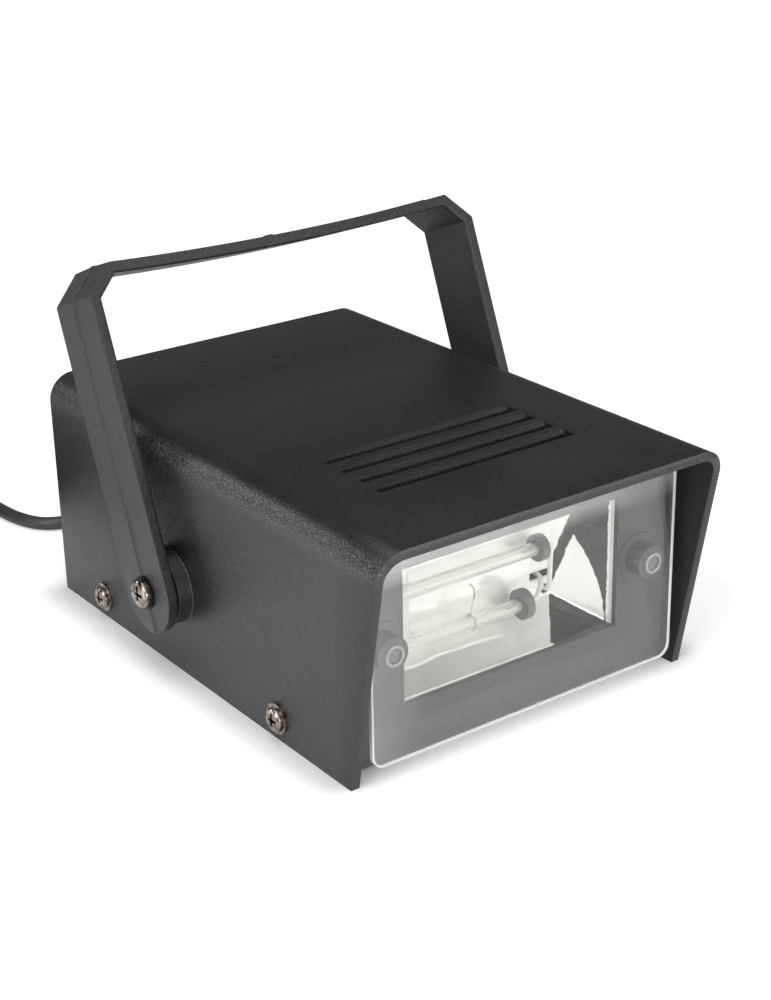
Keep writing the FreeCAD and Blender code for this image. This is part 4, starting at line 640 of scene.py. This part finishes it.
ease_edges(hood_skin, "eased_edges", EDGE_EASE, 2, 40)
dress(hood_skin, BLACK_ABS, "housing", "hood_abs", "hood")
pivot_bosses = piece("pivot_bosses", [
    turned(boss_profile(), (side * HOOD_HALF_WIDTH, pivot.y, pivot.z), (side, 0, 0), 96)
    for side in (-1, 1)])
dress(pivot_bosses, BLACK_ABS, "housing", "hood_abs")

# --- tray -------------------------------------------------------------------------------------
# Floor, low walls, front bezel and rear panel in one black moulding that the hood slides over.  The
# bezel's face is coloured a dark grey.
tray_moulding = eased_copy("tray_moulding", "tray", 0.25 * MM)
dress(tray_moulding, moulded_plastic("moulded_tray_abs", "1d1d1d", "232323", 0.42, PIT_SIZE, 0.5),
      "housing", "tray_abs", "tray")
tray_moulding.data.materials.append(
    moulded_plastic("grey_bezel_abs", "3c3c3d", "414142", 0.5, 0.3 * MM, 0.4))
faces = tray_moulding.data.polygons
normals = np.empty(3 * len(faces), np.float32)
faces.foreach_get("normal", normals)
middles = np.empty(3 * len(faces), np.float32)
faces.foreach_get("center", middles)
on_bezel = ((normals.reshape(-1, 3)[:, 1] < -0.9)
            & (middles.reshape(-1, 3)[:, 1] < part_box("reflector")[0].y))
faces.foreach_set("material_index", on_bezel.astype(np.int32))

# --- handle -----------------------------------------------------------------------------------
# U-shaped bracket of black polyamide with chamfered corners.  Its outer side falls away from a
# parting line in the middle, and its inner side is sunk but for a rib along the front edge.
HANDLE_LENGTH = 103.0 * MM
HANDLE_THICKNESS = 4.0 * MM
HANDLE_HALF_TOP = 12.95 * MM
HANDLE_HALF_PIVOT = 13.8 * MM
HANDLE_CHAMFER = 9.5 * MM
HANDLE_INNER_SHIFT = 1.3 * MM
HANDLE_SAG = 1.9 * MM
HANDLE_DRAFT = 0.35 * MM
HANDLE_RIM = 1.5 * MM
HANDLE_RECESS = 1.0 * MM
HANDLE_PAD = 17.0 * MM
HANDLE_TILT = math.radians(21.3)
SOFT_EDGE = 1.1 * MM                        # rounding of the rib's front
PARTING_HALF_WIDTH = 0.45 * MM
PARTING_HEIGHT = 0.26 * MM
NUB_RADIUS = 1.75 * MM
NUB_HEIGHT = 0.8 * MM
arm_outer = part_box("handle")[1].x
arm_inner = arm_outer - HANDLE_THICKNESS


def bracket_lines():
    """Outer and inner line of the bracket in its own plane, from the tip of the left arm over the
    bowed crossbar to the tip of the right; which stations are sunk inside; and the half width,
    which follows a circle below the pivot and narrows evenly above."""
    tip = np.sin(np.linspace(-np.pi / 2, 0, 14)) * HANDLE_HALF_PIVOT
    corner_x = arm_outer - HANDLE_CHAMFER
    inner_x = corner_x - HANDLE_INNER_SHIFT
    corner_z = HANDLE_LENGTH - HANDLE_CHAMFER
    inner_z = corner_z - HANDLE_INNER_SHIFT
    rise = np.concatenate([tip, [HANDLE_PAD, HANDLE_PAD],
                           np.linspace(HANDLE_PAD, corner_z, 6)[1:-1]])
    bar = np.linspace(-1, 1, 33)
    bow = HANDLE_SAG * (1 - bar ** 2)
    arm = np.full(len(rise), -1.0)
    outer = np.concatenate([
        np.stack([arm * arm_outer, rise], 1), [[-arm_outer, corner_z]],
        np.stack([bar * corner_x, HANDLE_LENGTH - bow], 1),
        [[arm_outer, corner_z]], np.stack([-arm * arm_outer, rise], 1)[::-1]])
    inner = np.concatenate([
        np.stack([arm * arm_inner, rise * inner_z / corner_z], 1), [[-arm_inner, inner_z]],
        np.stack([bar * inner_x, HANDLE_LENGTH - HANDLE_THICKNESS - bow], 1),
        [[arm_inner, inner_z]], np.stack([-arm * arm_inner, rise * inner_z / corner_z], 1)[::-1]])
    level = outer[:, 1]
    narrowing = (HANDLE_HALF_TOP - HANDLE_HALF_PIVOT) * level / HANDLE_LENGTH
    half = np.where(level < 0, np.sqrt(np.maximum(HANDLE_HALF_PIVOT ** 2 - level ** 2, 0)),
                    HANDLE_HALF_PIVOT + narrowing)
    sunk = np.ones(len(level))
    sunk[:len(tip) + 1] = sunk[-len(tip) - 1:] = 0
    return outer, inner, half, sunk


def along_bracket(section):
    """Carries a section along the bracket's lines: each section point is a distance across it and a
    share of the way from the outer line to the inner one."""
    outer, inner, half, sunk = bracket_lines()
    lean, rise = math.sin(HANDLE_TILT), math.cos(HANDLE_TILT)
    columns = []
    for across, inwards in section:
        flat = outer + (inner - outer) * inwards[:, None]
        columns.append(np.stack([flat[:, 0], pivot.y + across * rise + flat[:, 1] * lean,
                                 pivot.z - across * lean + flat[:, 1] * rise], 1))
    return surface(np.stack(columns, 1), around=True)


def bracket_surface():
    """Outer side with its two falls, rear side, sunk inner side, rib, and the rib's front, which
    turns to the front side along a quarter ellipse."""
    half, sunk = bracket_lines()[2:]
    depth = sunk * HANDLE_RECESS / HANDLE_THICKNESS
    fall = HANDLE_DRAFT / HANDLE_THICKNESS
    rim = np.minimum(HANDLE_RIM, half)
    none = np.zeros(len(half))
    turn = np.radians([90, 60, 30, 0])
    soft = np.minimum(SOFT_EDGE, 0.7 * half)
    rounding = [(soft * (1 - math.cos(t)) - half, 1 - SOFT_EDGE / HANDLE_THICKNESS
                 * (1 - math.sin(t)) + none) for t in turn]
    return along_bracket([(-half, none + fall), (none, none), (half, none + fall),
                          (half, 1 - depth), (rim - half, 1 - depth), (rim - half, none + 1)]
                         + rounding)


def parting_line():
    """A low triangular bead on the outer middle line, its foot sunk in the bracket."""
    half = bracket_lines()[2]
    none = np.zeros(len(half))
    width = np.minimum(PARTING_HALF_WIDTH, half)
    height = PARTING_HEIGHT / HANDLE_THICKNESS
    return along_bracket([(-width, none + height), (none, none - height), (width, none + height)])


def nub_profile():
    """Low cylinder with an eased rim, its foot sunk in the crossbar."""
    return [(0, -NUB_HEIGHT), (NUB_RADIUS, -NUB_HEIGHT), (NUB_RADIUS, 0.7 * NUB_HEIGHT),
            (0.88 * NUB_RADIUS, NUB_HEIGHT), (0, NUB_HEIGHT)]


# The handle carries painted glints: pale flecks thinly all over its colour.
BLACK_POLYAMIDE = moulded_plastic("moulded_black_polyamide", "272727", "2e2e2e", 0.32, PIT_SIZE,
                                  0.6, painted_glints=0.14)
bracket = piece("bracket", [bracket_surface()])
ease_edges(bracket, "eased_edges", 0.22 * MM, 2, 35)
dress(bracket, BLACK_POLYAMIDE, "handle", "handle_plastic", "handle")
crown = HANDLE_LENGTH - HANDLE_SAG
bracket_marks = piece("bracket_marks", [parting_line(), turned(
    nub_profile(), (0, pivot.y + crown * math.sin(HANDLE_TILT),
                    pivot.z + crown * math.cos(HANDLE_TILT)),
    (0, math.sin(HANDLE_TILT), math.cos(HANDLE_TILT)), 24)], 8.0)
dress(bracket_marks, BLACK_POLYAMIDE, "handle", "handle_plastic")

# --- screws, washers and nuts -----------------------------------------------------------------
# Cross-recessed steel screws with a warm nickel plate: flanged ones hold the hood, pan heads on a
# black lock washer are the handle's pivots, with a rubber ring and a zinc nut inside.
# The screws' cross recesses are darkened with dirt and painted shade.
SCREW_PLATE = bright_plating("nickel_plated_screws", "5d524b", "c9beb4", 0.17, 0.35 * MM,
                             "120d0a")
BLACK_OXIDE = bright_plating("blackened_spring_steel", "1d1a18", "3a3531", 0.4, 0.4 * MM)
ZINC_PLATE = bright_plating("zinc_plated_steel", "9ba3a6", "ccd1d1", 0.3, 0.5 * MM)
for name, node, finish in (("cover_screws", "hood_screws", SCREW_PLATE),
                           ("tilt_screws", "pivot_screws", SCREW_PLATE),
                           ("tilt_washers", "pivot_washers", BLACK_OXIDE)):
    dress(eased_copy(name, node, 0.12 * MM, 2), finish, "housing", "nickel_steel", node)


def coat(finish, *nodes):
    """Gives nodes that keep their own shape a finish."""
    for node in nodes:
        for place in frame["nodes"][node].material_slots:
            place.material = finish


coat(ZINC_PLATE, "pivot_nuts", "board_screws", "fuse_clips")
coat(moulded_plastic("nitrile_rubber", "1c1c1c", "242423", 0.75, 0.6 * MM), "friction_washers")

# --- clear front plate ------------------------------------------------------------------------
# Polished acrylic sheet with rounded corners.  Two pins moulded on its back stand in the bezel's
# bosses, and the sheet has sunk a little over each of them.
LENS_CORNER = 4.5 * MM
LENS_EASE = 0.3 * MM
LENS_PIN_X = 50.0 * MM
LENS_PIN_RADIUS = 2.0 * MM
LENS_PIN_LENGTH = 5.0 * MM
SINK_RADIUS = 2.9 * MM
SINK_RIM = 0.45 * MM
SINK_HEIGHT = 0.08 * MM
CLEAR_HALF = Vector((0.0415, 1.0, 0.0218))  # half of what stays clear, in front of the window
CLEAREST = 0.995                            # share of light that passes there
lens_low, lens_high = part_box("lens")
LENS_THICKNESS = 2.0 * MM
lens_middle = (lens_low.z + lens_high.z) / 2
CORNER_CENTRE = Vector((lens_high.x - LENS_CORNER, 1.0, lens_high.z - lens_middle - LENS_CORNER))


def plate_surface():
    """Rounded rectangles laid one inside another: from a point in the middle of the front face out
    to its edge, over an eased corner, back through the thickness and in to the rear's middle."""
    turn = np.linspace(0, np.pi / 2, 9)
    rings = [(0, None), (0, LENS_EASE), (LENS_EASE, 0), (LENS_THICKNESS - LENS_EASE, 0),
             (LENS_THICKNESS, LENS_EASE), (LENS_THICKNESS, None)]
    rows = []
    for depth, inset in rings:
        corner = LENS_CORNER - (inset or 0)
        quarter = [(1, 1, 0), (-1, 1, 1), (-1, -1, 2), (1, -1, 3)]
        loop = []
        for side_x, side_z, quarter_turn in quarter:
            centre_x = side_x * (lens_high.x - LENS_CORNER)
            centre_z = side_z * ((lens_high.z - lens_low.z) / 2 - LENS_CORNER)
            angle = turn + quarter_turn * np.pi / 2
            loop.append(np.stack([centre_x + corner * np.cos(angle),
                                  np.full(len(turn), lens_low.y + depth),
                                  lens_middle + centre_z + corner * np.sin(angle)], 1))
        loop = np.concatenate(loop)
        if inset is None:
            loop[:, 0] = 0
            loop[:, 2] = lens_middle
        rows.append(loop)
    return surface(np.stack(rows), around=True)


def clear_plastic(name, tint, ior, roughness, clarity):
    """Clear, polished plastic or glass that lets the lamps' light through without bending it, with
    a milky share where it isn't fully clear."""
    made, tree, place = new_material(name)
    gloss = span(tree, noise(tree, place, 12 * MM, 4.0), 0.0, 1.0, 0.5 * roughness, 1.5 * roughness)
    body = add(tree, "BsdfPrincipled", {"Base Color": linear(tint), "Transmission Weight": clarity,
                                        "IOR": ior, "Roughness": gloss})
    through = add(tree, "BsdfTransparent", {"Color": linear(tint)})
    mixed = add(tree, "MixShader", {0: add(tree, "LightPath").outputs["Is Shadow Ray"],
                                    1: body.outputs[0], 2: through.outputs[0]})
    add(tree, "OutputMaterial", {"Surface": mixed.outputs[0]})
    return made, tree, place, body


def hazy_border(tree, place, body):
    """Handling has dulled the plate around the window, most of all along its top and left edges,
    and its sawn rim is frosted."""
    middle = Vector((0, lens_low.y, lens_middle))
    dull = span(tree, distance_past(tree, place, middle, CLEAR_HALF), 0.0, 2 * MM, 0.0, 0.012)
    parts = add(tree, "SeparateXYZ", {
        "Vector": vector_calc(tree, "SUBTRACT", place, middle)}).outputs
    leftwards = span(tree, parts["X"], 45 * MM, -55 * MM, 0.12, 0.5)
    top = span(tree, parts["Z"], 21 * MM, 27 * MM, 0.0, leftwards)
    left = span(tree, parts["X"], -40 * MM, -58 * MM, 0.0, 0.10)
    patchy = calc(tree, "MULTIPLY", calc(tree, "ADD", top, left), noise(tree, place, 18 * MM, 5.0))
    sawn = span(tree, distance_past(tree, place, middle, CORNER_CENTRE), LENS_CORNER - 0.6 * MM,
                LENS_CORNER - 0.2 * MM, 0.0, 0.8)
    dulled = calc(tree, "ADD", calc(tree, "ADD", dull, patchy), sawn)
    tree.links.new(calc(tree, "SUBTRACT", CLEAREST, dulled), body.inputs["Transmission Weight"])


def pin_profile():
    """Pin behind the plate with an eased tip."""
    tip = LENS_PIN_LENGTH
    return [(0, -0.02 * MM), (LENS_PIN_RADIUS + 0.4 * MM, -0.02 * MM),
            (LENS_PIN_RADIUS, 0.4 * MM), (LENS_PIN_RADIUS, tip - LENS_EASE),
            (LENS_PIN_RADIUS - LENS_EASE, tip), (0, tip)]


def sink_profile():
    """Low rounded ring on the plate's face, a half wave high and wide."""
    share = np.linspace(-1, 1, 9)
    radius = SINK_RADIUS + SINK_RIM * share
    height = SINK_HEIGHT * np.cos(np.pi / 2 * share)
    return [(radius[0], -0.05 * MM)] + list(zip(radius, height)) + [
        (radius[-1], -0.05 * MM), (radius[0], -0.05 * MM)]


PLATE_ACRYLIC, tree, place, body = clear_plastic("clear_acrylic", "f8f8f6", 1.49, 0.02, 0.98)
hazy_border(tree, place, body)
front_plate = piece("front_plate", [plate_surface()])
dress(front_plate, PLATE_ACRYLIC, "housing", "clear_plate", "lens")
plate_pins = piece("plate_pins", [
    turned(pin_profile(), (side * LENS_PIN_X, lens_low.y + LENS_THICKNESS, lens_middle),
           (0, 1, 0), 32) for side in (-1, 1)])
FROSTED_ACRYLIC = moulded_plastic("frosted_acrylic", "6c6d6d", "858685", 0.3, 0.8 * MM, 0.6)
dress(plate_pins, FROSTED_ACRYLIC, "housing", "clear_plate")
plate_marks = piece("plate_marks", [
    turned(sink_profile(), (side * LENS_PIN_X, lens_low.y, lens_middle), (0, -1, 0), 40)
    for side in (-1, 1)])
dress(plate_marks, clear_plastic("cut_acrylic", "f0f0ee", 1.49, 0.05, 0.85)[0], "housing",
      "clear_plate")

# --- reflector --------------------------------------------------------------------------------
# Bright rolled aluminium sheet, folded into a trough behind the window, with a slot and a hole for
# the leads.  The folds are soft, and the sheet has a slow waviness.
SHEET = 0.5 * MM
REFLECTOR_MOUTH = (42.2 * MM, 22.45 * MM)   # half width and half height at the bezel
REFLECTOR_BACK = (27.8 * MM, 12.4 * MM)     # the same at the back
REFLECTOR_FLANGE = 4.0 * MM
REFLECTOR_FOLD = 0.8 * MM                   # how softly the sides run into each other
LINING_HALF = (41.5 * MM, 21.75 * MM)       # the strip folded forward through the window
LINING_THICKNESS = 0.15 * MM
LINING_DEPTH = 1.2 * MM
# The dark patch on the right end and the wedge under it is a painted dark reflection.
FLAP_FOOT = (0.0, 28.5 * MM)                # the triangle in the right end that the painted dark reflection leaves bright: corners as distance from the back fold and height, and the bow of its right side: slope, and bend per metre
FLAP_TIP = (7.3 * MM, 48.0 * MM)            # distance from the back fold and height, and the bow
FLAP_BOW = (0.68, -10.8)                    # of its right side: slope, and bend per metre
DARK_REFLECTION_EDGE = ((-0.2 * MM, 37.0 * MM), (6.2 * MM, 54.2 * MM))
DARK_REFLECTION_END = 18.2 * MM                       # the painted dark reflection stops short of the mouth
WEDGE_SLOPES = (0.70, -0.95)                # the wedge's sides: the fold, and its ragged left
GRID_STEP = 0.5 * MM
TUBE_CUT = 2.45 * MM
WINDOW_Z = 39.5 * MM
LEAD_SLOT = (23.5 * MM, 35.0 * MM, 3.75 * MM, 1.3 * MM)   # middle, then half its length and height
LEAD_HOLE = (26.0 * MM, 29.2 * MM, 1.6 * MM)              # middle and radius
reflector_low, reflector_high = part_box("reflector")
tube_low, tube_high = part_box("flash_tube")


def soft_least(first, second, width):
    """The lesser of two heights, with the crease between them rounded off over the width."""
    blend = np.clip(0.5 + 0.5 * (second - first) / width, 0, 1)
    return second + (first - second) * blend - width * blend * (1 - blend)


def reflector_surface():
    """Depth over a grid across the window: the least of a flat back and four straight sides, each
    of which grows with the distance from its own edge of the mouth, with every crease rounded.
    Cells inside a cut are left out, and points near a round one are moved onto its edge."""
    half_x, half_z = REFLECTOR_MOUTH
    depth = reflector_high.y - SHEET - reflector_low.y
    x = np.arange(-half_x - REFLECTOR_FLANGE, half_x + REFLECTOR_FLANGE + GRID_STEP / 2, GRID_STEP)
    z = np.arange(-half_z - REFLECTOR_FLANGE, half_z + REFLECTOR_FLANGE + GRID_STEP / 2, GRID_STEP)
    x, z = np.meshgrid(x, z)
    centre_x, centre_z, radius = LEAD_HOLE
    off_x, off_z = x - centre_x, z + WINDOW_Z - centre_z
    away = np.maximum(np.hypot(off_x, off_z), 1e-6)
    near = np.abs(away - radius) < 0.6 * GRID_STEP
    x = np.where(near, centre_x + off_x * radius / away, x)
    z = np.where(near, centre_z - WINDOW_Z + off_z * radius / away, z)
    side = (half_x - np.abs(x)) * depth / (half_x - REFLECTOR_BACK[0])
    cheek = (half_z - np.abs(z)) * depth / (half_z - REFLECTOR_BACK[1])
    rise = soft_least(soft_least(side, cheek, REFLECTOR_FOLD), depth, REFLECTOR_FOLD)
    y = reflector_low.y + SHEET + np.maximum(rise, 0)
    points = np.stack([x, y, z + WINDOW_Z], -1)
    middle = (points[:-1, :-1] + points[1:, 1:]) / 2
    cut = ((np.abs(middle[..., 0] - LEAD_SLOT[0]) < LEAD_SLOT[2])
           & (np.abs(middle[..., 2] - LEAD_SLOT[1]) < LEAD_SLOT[3]))
    cut |= np.hypot(middle[..., 0] - centre_x, middle[..., 2] - centre_z) < radius
    for level in (tube_low.z + 2.2 * MM, tube_high.z - 2.2 * MM):
        cut |= ((np.hypot(middle[..., 1] - (tube_low.y + tube_high.y) / 2,
                          middle[..., 2] - level) < TUBE_CUT) & (middle[..., 0] < 0))
    return surface(points, keep=~cut)


def lining_surface():
    """Four rectangles round the window, joined into a closed strip: outer and inner edge at the
    bezel's back, then inner and outer edge at its face."""
    corners = np.array([(1, 1), (-1, 1), (-1, -1), (1, -1)])
    inset = np.array([0, LINING_THICKNESS, LINING_THICKNESS, 0, 0])[:, None]
    depths = np.array([0, 0, -LINING_DEPTH, -LINING_DEPTH, 0])[:, None] + np.zeros(4)
    return surface(np.stack([corners[:, 0] * (LINING_HALF[0] - inset),
                             reflector_low.y + SHEET + depths,
                             corners[:, 1] * (LINING_HALF[1] - inset) + WINDOW_Z], -1),
                   around=True)


def past_line(tree, along, height, start, end):
    """Signed distance of a point from a line in the right end's own plane, above it positive."""
    run, rise = end[0] - start[0], end[1] - start[1]
    length = math.hypot(run, rise)
    across = calc(tree, "MULTIPLY_ADD", along, -rise / length,
                  (start[0] * rise - start[1] * run) / length)
    return calc(tree, "MULTIPLY_ADD", height, run / length, across)


def dark_reflection_distance(tree, place):
    """Signed distance into the painted dark reflection: on the right end all that lies round the
    bright triangle, and on the lower side the wedge under it."""
    parts = add(tree, "SeparateXYZ", {"Vector": place}).outputs
    slant = (REFLECTOR_MOUTH[0] - REFLECTOR_BACK[0]) / math.hypot(
        REFLECTOR_MOUTH[0] - REFLECTOR_BACK[0], reflector_high.y - reflector_low.y)
    along = calc(tree, "MULTIPLY_ADD", parts["X"], 1 / slant, -REFLECTOR_BACK[0] / slant)
    above = past_line(tree, along, parts["Z"], FLAP_FOOT, FLAP_TIP)
    below_tip = calc(tree, "SUBTRACT", FLAP_TIP[1], parts["Z"])
    bend = calc(tree, "MULTIPLY_ADD", below_tip, FLAP_BOW[1], FLAP_BOW[0])
    bowed = calc(tree, "MULTIPLY_ADD", below_tip, bend, FLAP_TIP[0])
    end = calc(tree, "MAXIMUM", above, calc(tree, "SUBTRACT", along, bowed))
    left = calc(tree, "MULTIPLY", past_line(tree, along, parts["Z"], *DARK_REFLECTION_EDGE), -1.0)
    for limit in (left, calc(tree, "SUBTRACT", DARK_REFLECTION_END, along), along):
        end = calc(tree, "MINIMUM", end, limit)
    from_fold = calc(tree, "SUBTRACT", parts["X"], REFLECTOR_BACK[0])
    under = calc(tree, "SUBTRACT", WINDOW_Z - REFLECTOR_BACK[1], parts["Z"])
    wedge = under
    for slope in WEDGE_SLOPES:
        wedge = calc(tree, "MINIMUM", wedge, calc(tree, "MULTIPLY_ADD", from_fold, -slope, under))
    return calc(tree, "MAXIMUM", end, wedge)


def bright_aluminium():
    """Bright rolled sheet: part mirror and part milky haze from the flashes, with a slow waviness
    and faint smears.  A painted dark reflection, finely flecked, lies on its right end round a
    bright triangle and on the wedge under it, and stops along ragged edges."""
    made, tree, place = new_material("bright_rolled_aluminium")
    shift = span(tree, noise(tree, place, 1.6 * MM, 4.0), 0.0, 1.0, -0.5 * MM, 0.9 * MM)
    # Painted dark reflection: a dark flecked colour on the right end and the wedge, fully metallic
    # there.
    ragged = calc(tree, "ADD", dark_reflection_distance(tree, place), shift)
    dark_reflection_share = span(tree, ragged, -0.1 * MM, 0.3 * MM, kind="SMOOTHSTEP")
    dark_reflection_colour = ramp(tree, noise(tree, place, 0.6 * MM, 3.0), "080808", "7c7c7a", 0.4, 0.75)
    gloss = span(tree, noise(tree, place, 9 * MM, 4.0), 0.35, 0.7, 0.04, 0.16)
    waviness = bump(tree, noise(tree, place, 16 * MM, 1.0), 0.8, 1.4 * MM)
    across = add(tree, "SeparateXYZ", {"Vector": place}).outputs["X"]
    milky = span(tree, across, -35 * MM, 25 * MM, 0.70, 0.25)
    finish_material(tree, blend(tree, dark_reflection_share, linear("fafaf8"), dark_reflection_colour), gloss, waviness,
                    Metallic=calc(tree, "MAXIMUM", milky, dark_reflection_share))
    return made


reflector_sheet = piece("reflector_trough", [reflector_surface()])
wall = reflector_sheet.modifiers.new("sheet", "SOLIDIFY")
wall.thickness = SHEET
wall.offset = 0.0
BRIGHT_ALUMINIUM = bright_aluminium()
dress(reflector_sheet, BRIGHT_ALUMINIUM, "housing", "reflector_sheet", "reflector")
dress(piece("window_lining", [lining_surface()]), BRIGHT_ALUMINIUM, "housing", "reflector_sheet")

# --- flash tube -------------------------------------------------------------------------------
# U-shaped xenon tube of hard glass with grey silicone bushings on its ends, nickel electrodes,
# white silicone leads, and a bare trigger wire that touches the glass.
tube_glass = eased_copy("tube_glass", "flash_tube", 0.08 * MM, 1)
dress(tube_glass, clear_plastic("hard_glass", "f4f4f2", 1.47, 0.1, 0.8)[0], "housing",
      "tube_glass", "flash_tube")
end_bushings = eased_copy("end_bushings", "tube_bushings", 0.45 * MM, 3)
dress(end_bushings, moulded_plastic("grey_silicone", "3f3f41", "7a7a7b", 0.4, 0.9 * MM, 1.0),
      "housing", "silicone", "tube_bushings")
soft_leads = eased_copy("soft_leads", "tube_leads", 0.05 * MM, 1)
dress(soft_leads, moulded_plastic("white_silicone", "d6d6d2", "e6e6e3", 0.5, 0.6 * MM, 0.3),
      "housing", "white_core", "tube_leads")
coat(bright_plating("electrode_nickel", "77706a", "a8a29b", 0.35, 0.3 * MM), "tube_electrodes")
coat(bright_plating("tinned_wire", "c4c2be", "e8e6e2", 0.45, 0.3 * MM), "trigger_wire")

# --- circuit board and its parts --------------------------------------------------------------
# Paper laminate board on the tray's standoffs, with the mains side at the left and the timing and
# trigger side at the right, all soldered in by hand.


def banded(name, axis, stops, roughness):
    """Lacquer, sleeve and metal in rings: a stepped ramp along one axis of the object, in metres,
    with a colour and a metallic value for each step."""
    made, tree, place = new_material(name)
    start, end = stops[0][0], stops[-1][0]
    parts = add(tree, "SeparateXYZ", {"Vector": place})
    along = span(tree, parts.outputs[axis], start, end)
    rings = []
    for column in (1, 2):
        node = add(tree, "ValToRGB", {"Fac": along})
        node.color_ramp.interpolation = "CONSTANT"
        for number, stop in enumerate(stops[:-1]):
            position = (stop[0] - start) / (end - start)
            step = (node.color_ramp.elements[0] if number == 0
                    else node.color_ramp.elements.new(position))
            step.position = position
            step.color = linear(stop[1]) if column == 1 else (*[stop[2]] * 3, 1.0)
        node.color_ramp.elements.remove(node.color_ramp.elements[-1])
        rings.append(node.outputs["Color"])
    skin = noise(tree, place, 0.7 * MM, 3.0)
    finish_material(tree, rings[0], span(tree, skin, 0.0, 1.0, roughness - 0.08, roughness + 0.08),
                    bump(tree, skin, 0.2, 0.08 * MM), Metallic=rings[1])
    return made


BAND_SHARE = 0.07                           # width of a colour ring in the length of its part


def stripes(start, end, body, bands):
    """Stops for a body colour with a band at each share of the way from start to end."""
    length = end - start
    stops = [(start, body, 0.0)]
    for share, shade in bands:
        stops += [(start + share * length, shade, 0.0),
                  (start + (share + BAND_SHARE) * length, body, 0.0)]
    return stops + [(end, body, 0.0)]


def box_stops(node, axis, body, bands):
    """The same for a node's own reach along an axis."""
    low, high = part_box(node)
    return stripes(low["XYZ".index(axis)], high["XYZ".index(axis)], body, bands)


can_low, can_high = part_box("storage_capacitors")
clip_low, clip_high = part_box("fuse")
coat(banded("capacitor_sleeve", "Z", [(can_low.z, "1f3557", 0.0),
                                      (can_high.z - 0.8 * MM, "c9cbcc", 1.0),
                                      (can_high.z, "c9cbcc", 1.0)], 0.35), "storage_capacitors")
coat(banded("glass_fuse", "X", [(clip_low.x, "c6c0b8", 1.0), (clip_low.x + 5.5 * MM, "dfe6e4", 0.0),
                                (clip_high.x - 5.5 * MM, "c6c0b8", 1.0),
                                (clip_high.x, "c6c0b8", 1.0)], 0.25), "fuse")
coat(banded("diode_epoxy", "X", box_stops("doubler_diodes", "X", "1b1b1c", [(0.72, "c9c9c6")]),
            0.4), "doubler_diodes")
coat(banded("resistor_lacquer", "X", box_stops("resistors", "X", "c8ad80", [
    (0.34, "6b3a1f"), (0.44, "1c1c1c"), (0.54, "c8622a"), (0.66, "b08d3a")]), 0.35), "resistors")
coat(banded("diac_glass", "Y", box_stops("diac", "Y", "2f5f8f", [(0.46, "1b1b1b")]), 0.2), "diac")
coat(moulded_plastic("white_ceramic", "cfccc3", "dedbd3", 0.7, 0.6 * MM, 0.5), "ballast_resistor")
coat(moulded_plastic("red_film_box", "8c2f22", "a23a2b", 0.35, 0.8 * MM, 0.2), "trigger_capacitor")
coat(moulded_plastic("varnished_copper", "8a4a23", "a85f30", 0.3, 0.25 * MM, 0.8),
     "trigger_transformer")
coat(moulded_plastic("black_epoxy", "1d1d1e", "262627", 0.5, 0.3 * MM, 0.5), "thyristor")
coat(moulded_plastic("paper_laminate", "8f6f3f", "a5834d", 0.5, 0.5 * MM, 0.3), "circuit_board")
coat(moulded_plastic("red_pvc_core", "9c1f1b", "b02823", 0.45, 0.5 * MM, 0.3), "pot_leads")
core_low, core_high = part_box("mains_leads")
coat(banded("mains_cores", "X", [(core_low.x, "2a5da8", 0.0), (2.5 * MM, "6a4326", 0.0),
                                 (core_high.x, "6a4326", 0.0)], 0.45), "mains_leads")

# --- speed control ----------------------------------------------------------------------------
# Rotary potentiometer held in the rear panel by its own nut, with a fluted knob in satin black
# whose pointer line is filled with white.
POINTER_HALF_WIDTH = 0.45 * MM
POINTER_START = 3.0 * MM                    # above the knob's middle
coat(bright_plating("pressed_pot_case", "8f959a", "c3c7c8", 0.3, 0.5 * MM), "speed_pot")
coat(bright_plating("turned_brass_shaft", "8d7b4f", "cbb684", 0.3, 0.3 * MM), "pot_shaft")
panel_nut = eased_copy("panel_nut", "pot_nut", 0.12 * MM, 2)
dress(panel_nut, NICKEL_PLATE, "housing", "nickel_steel", "pot_nut")
knob_low, knob_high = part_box("speed_knob")


def satin_knob():
    """Black phenolic, satin, with a white line from the middle of the face to its rim."""
    made, tree, place = new_material("satin_black_knob")
    parts = add(tree, "SeparateXYZ", {"Vector": place}).outputs
    narrow = calc(tree, "LESS_THAN", calc(tree, "ABSOLUTE", parts["X"]), POINTER_HALF_WIDTH)
    above = calc(tree, "GREATER_THAN", parts["Z"], (knob_low.z + knob_high.z) / 2 + POINTER_START)
    line = calc(tree, "MULTIPLY", narrow, above)
    skin = noise(tree, place, 0.4 * MM, 3.0)
    finish_material(tree, ramp(tree, line, "232324", "dcdcd8"),
                    span(tree, skin, 0.0, 1.0, 0.32, 0.48), bump(tree, skin, 0.3, 0.08 * MM))
    return made


fluted_knob = eased_copy("fluted_knob", "speed_knob", 0.15 * MM, 2)
dress(fluted_knob, satin_knob(), "speed_knob", "knob_plastic", "speed_knob")
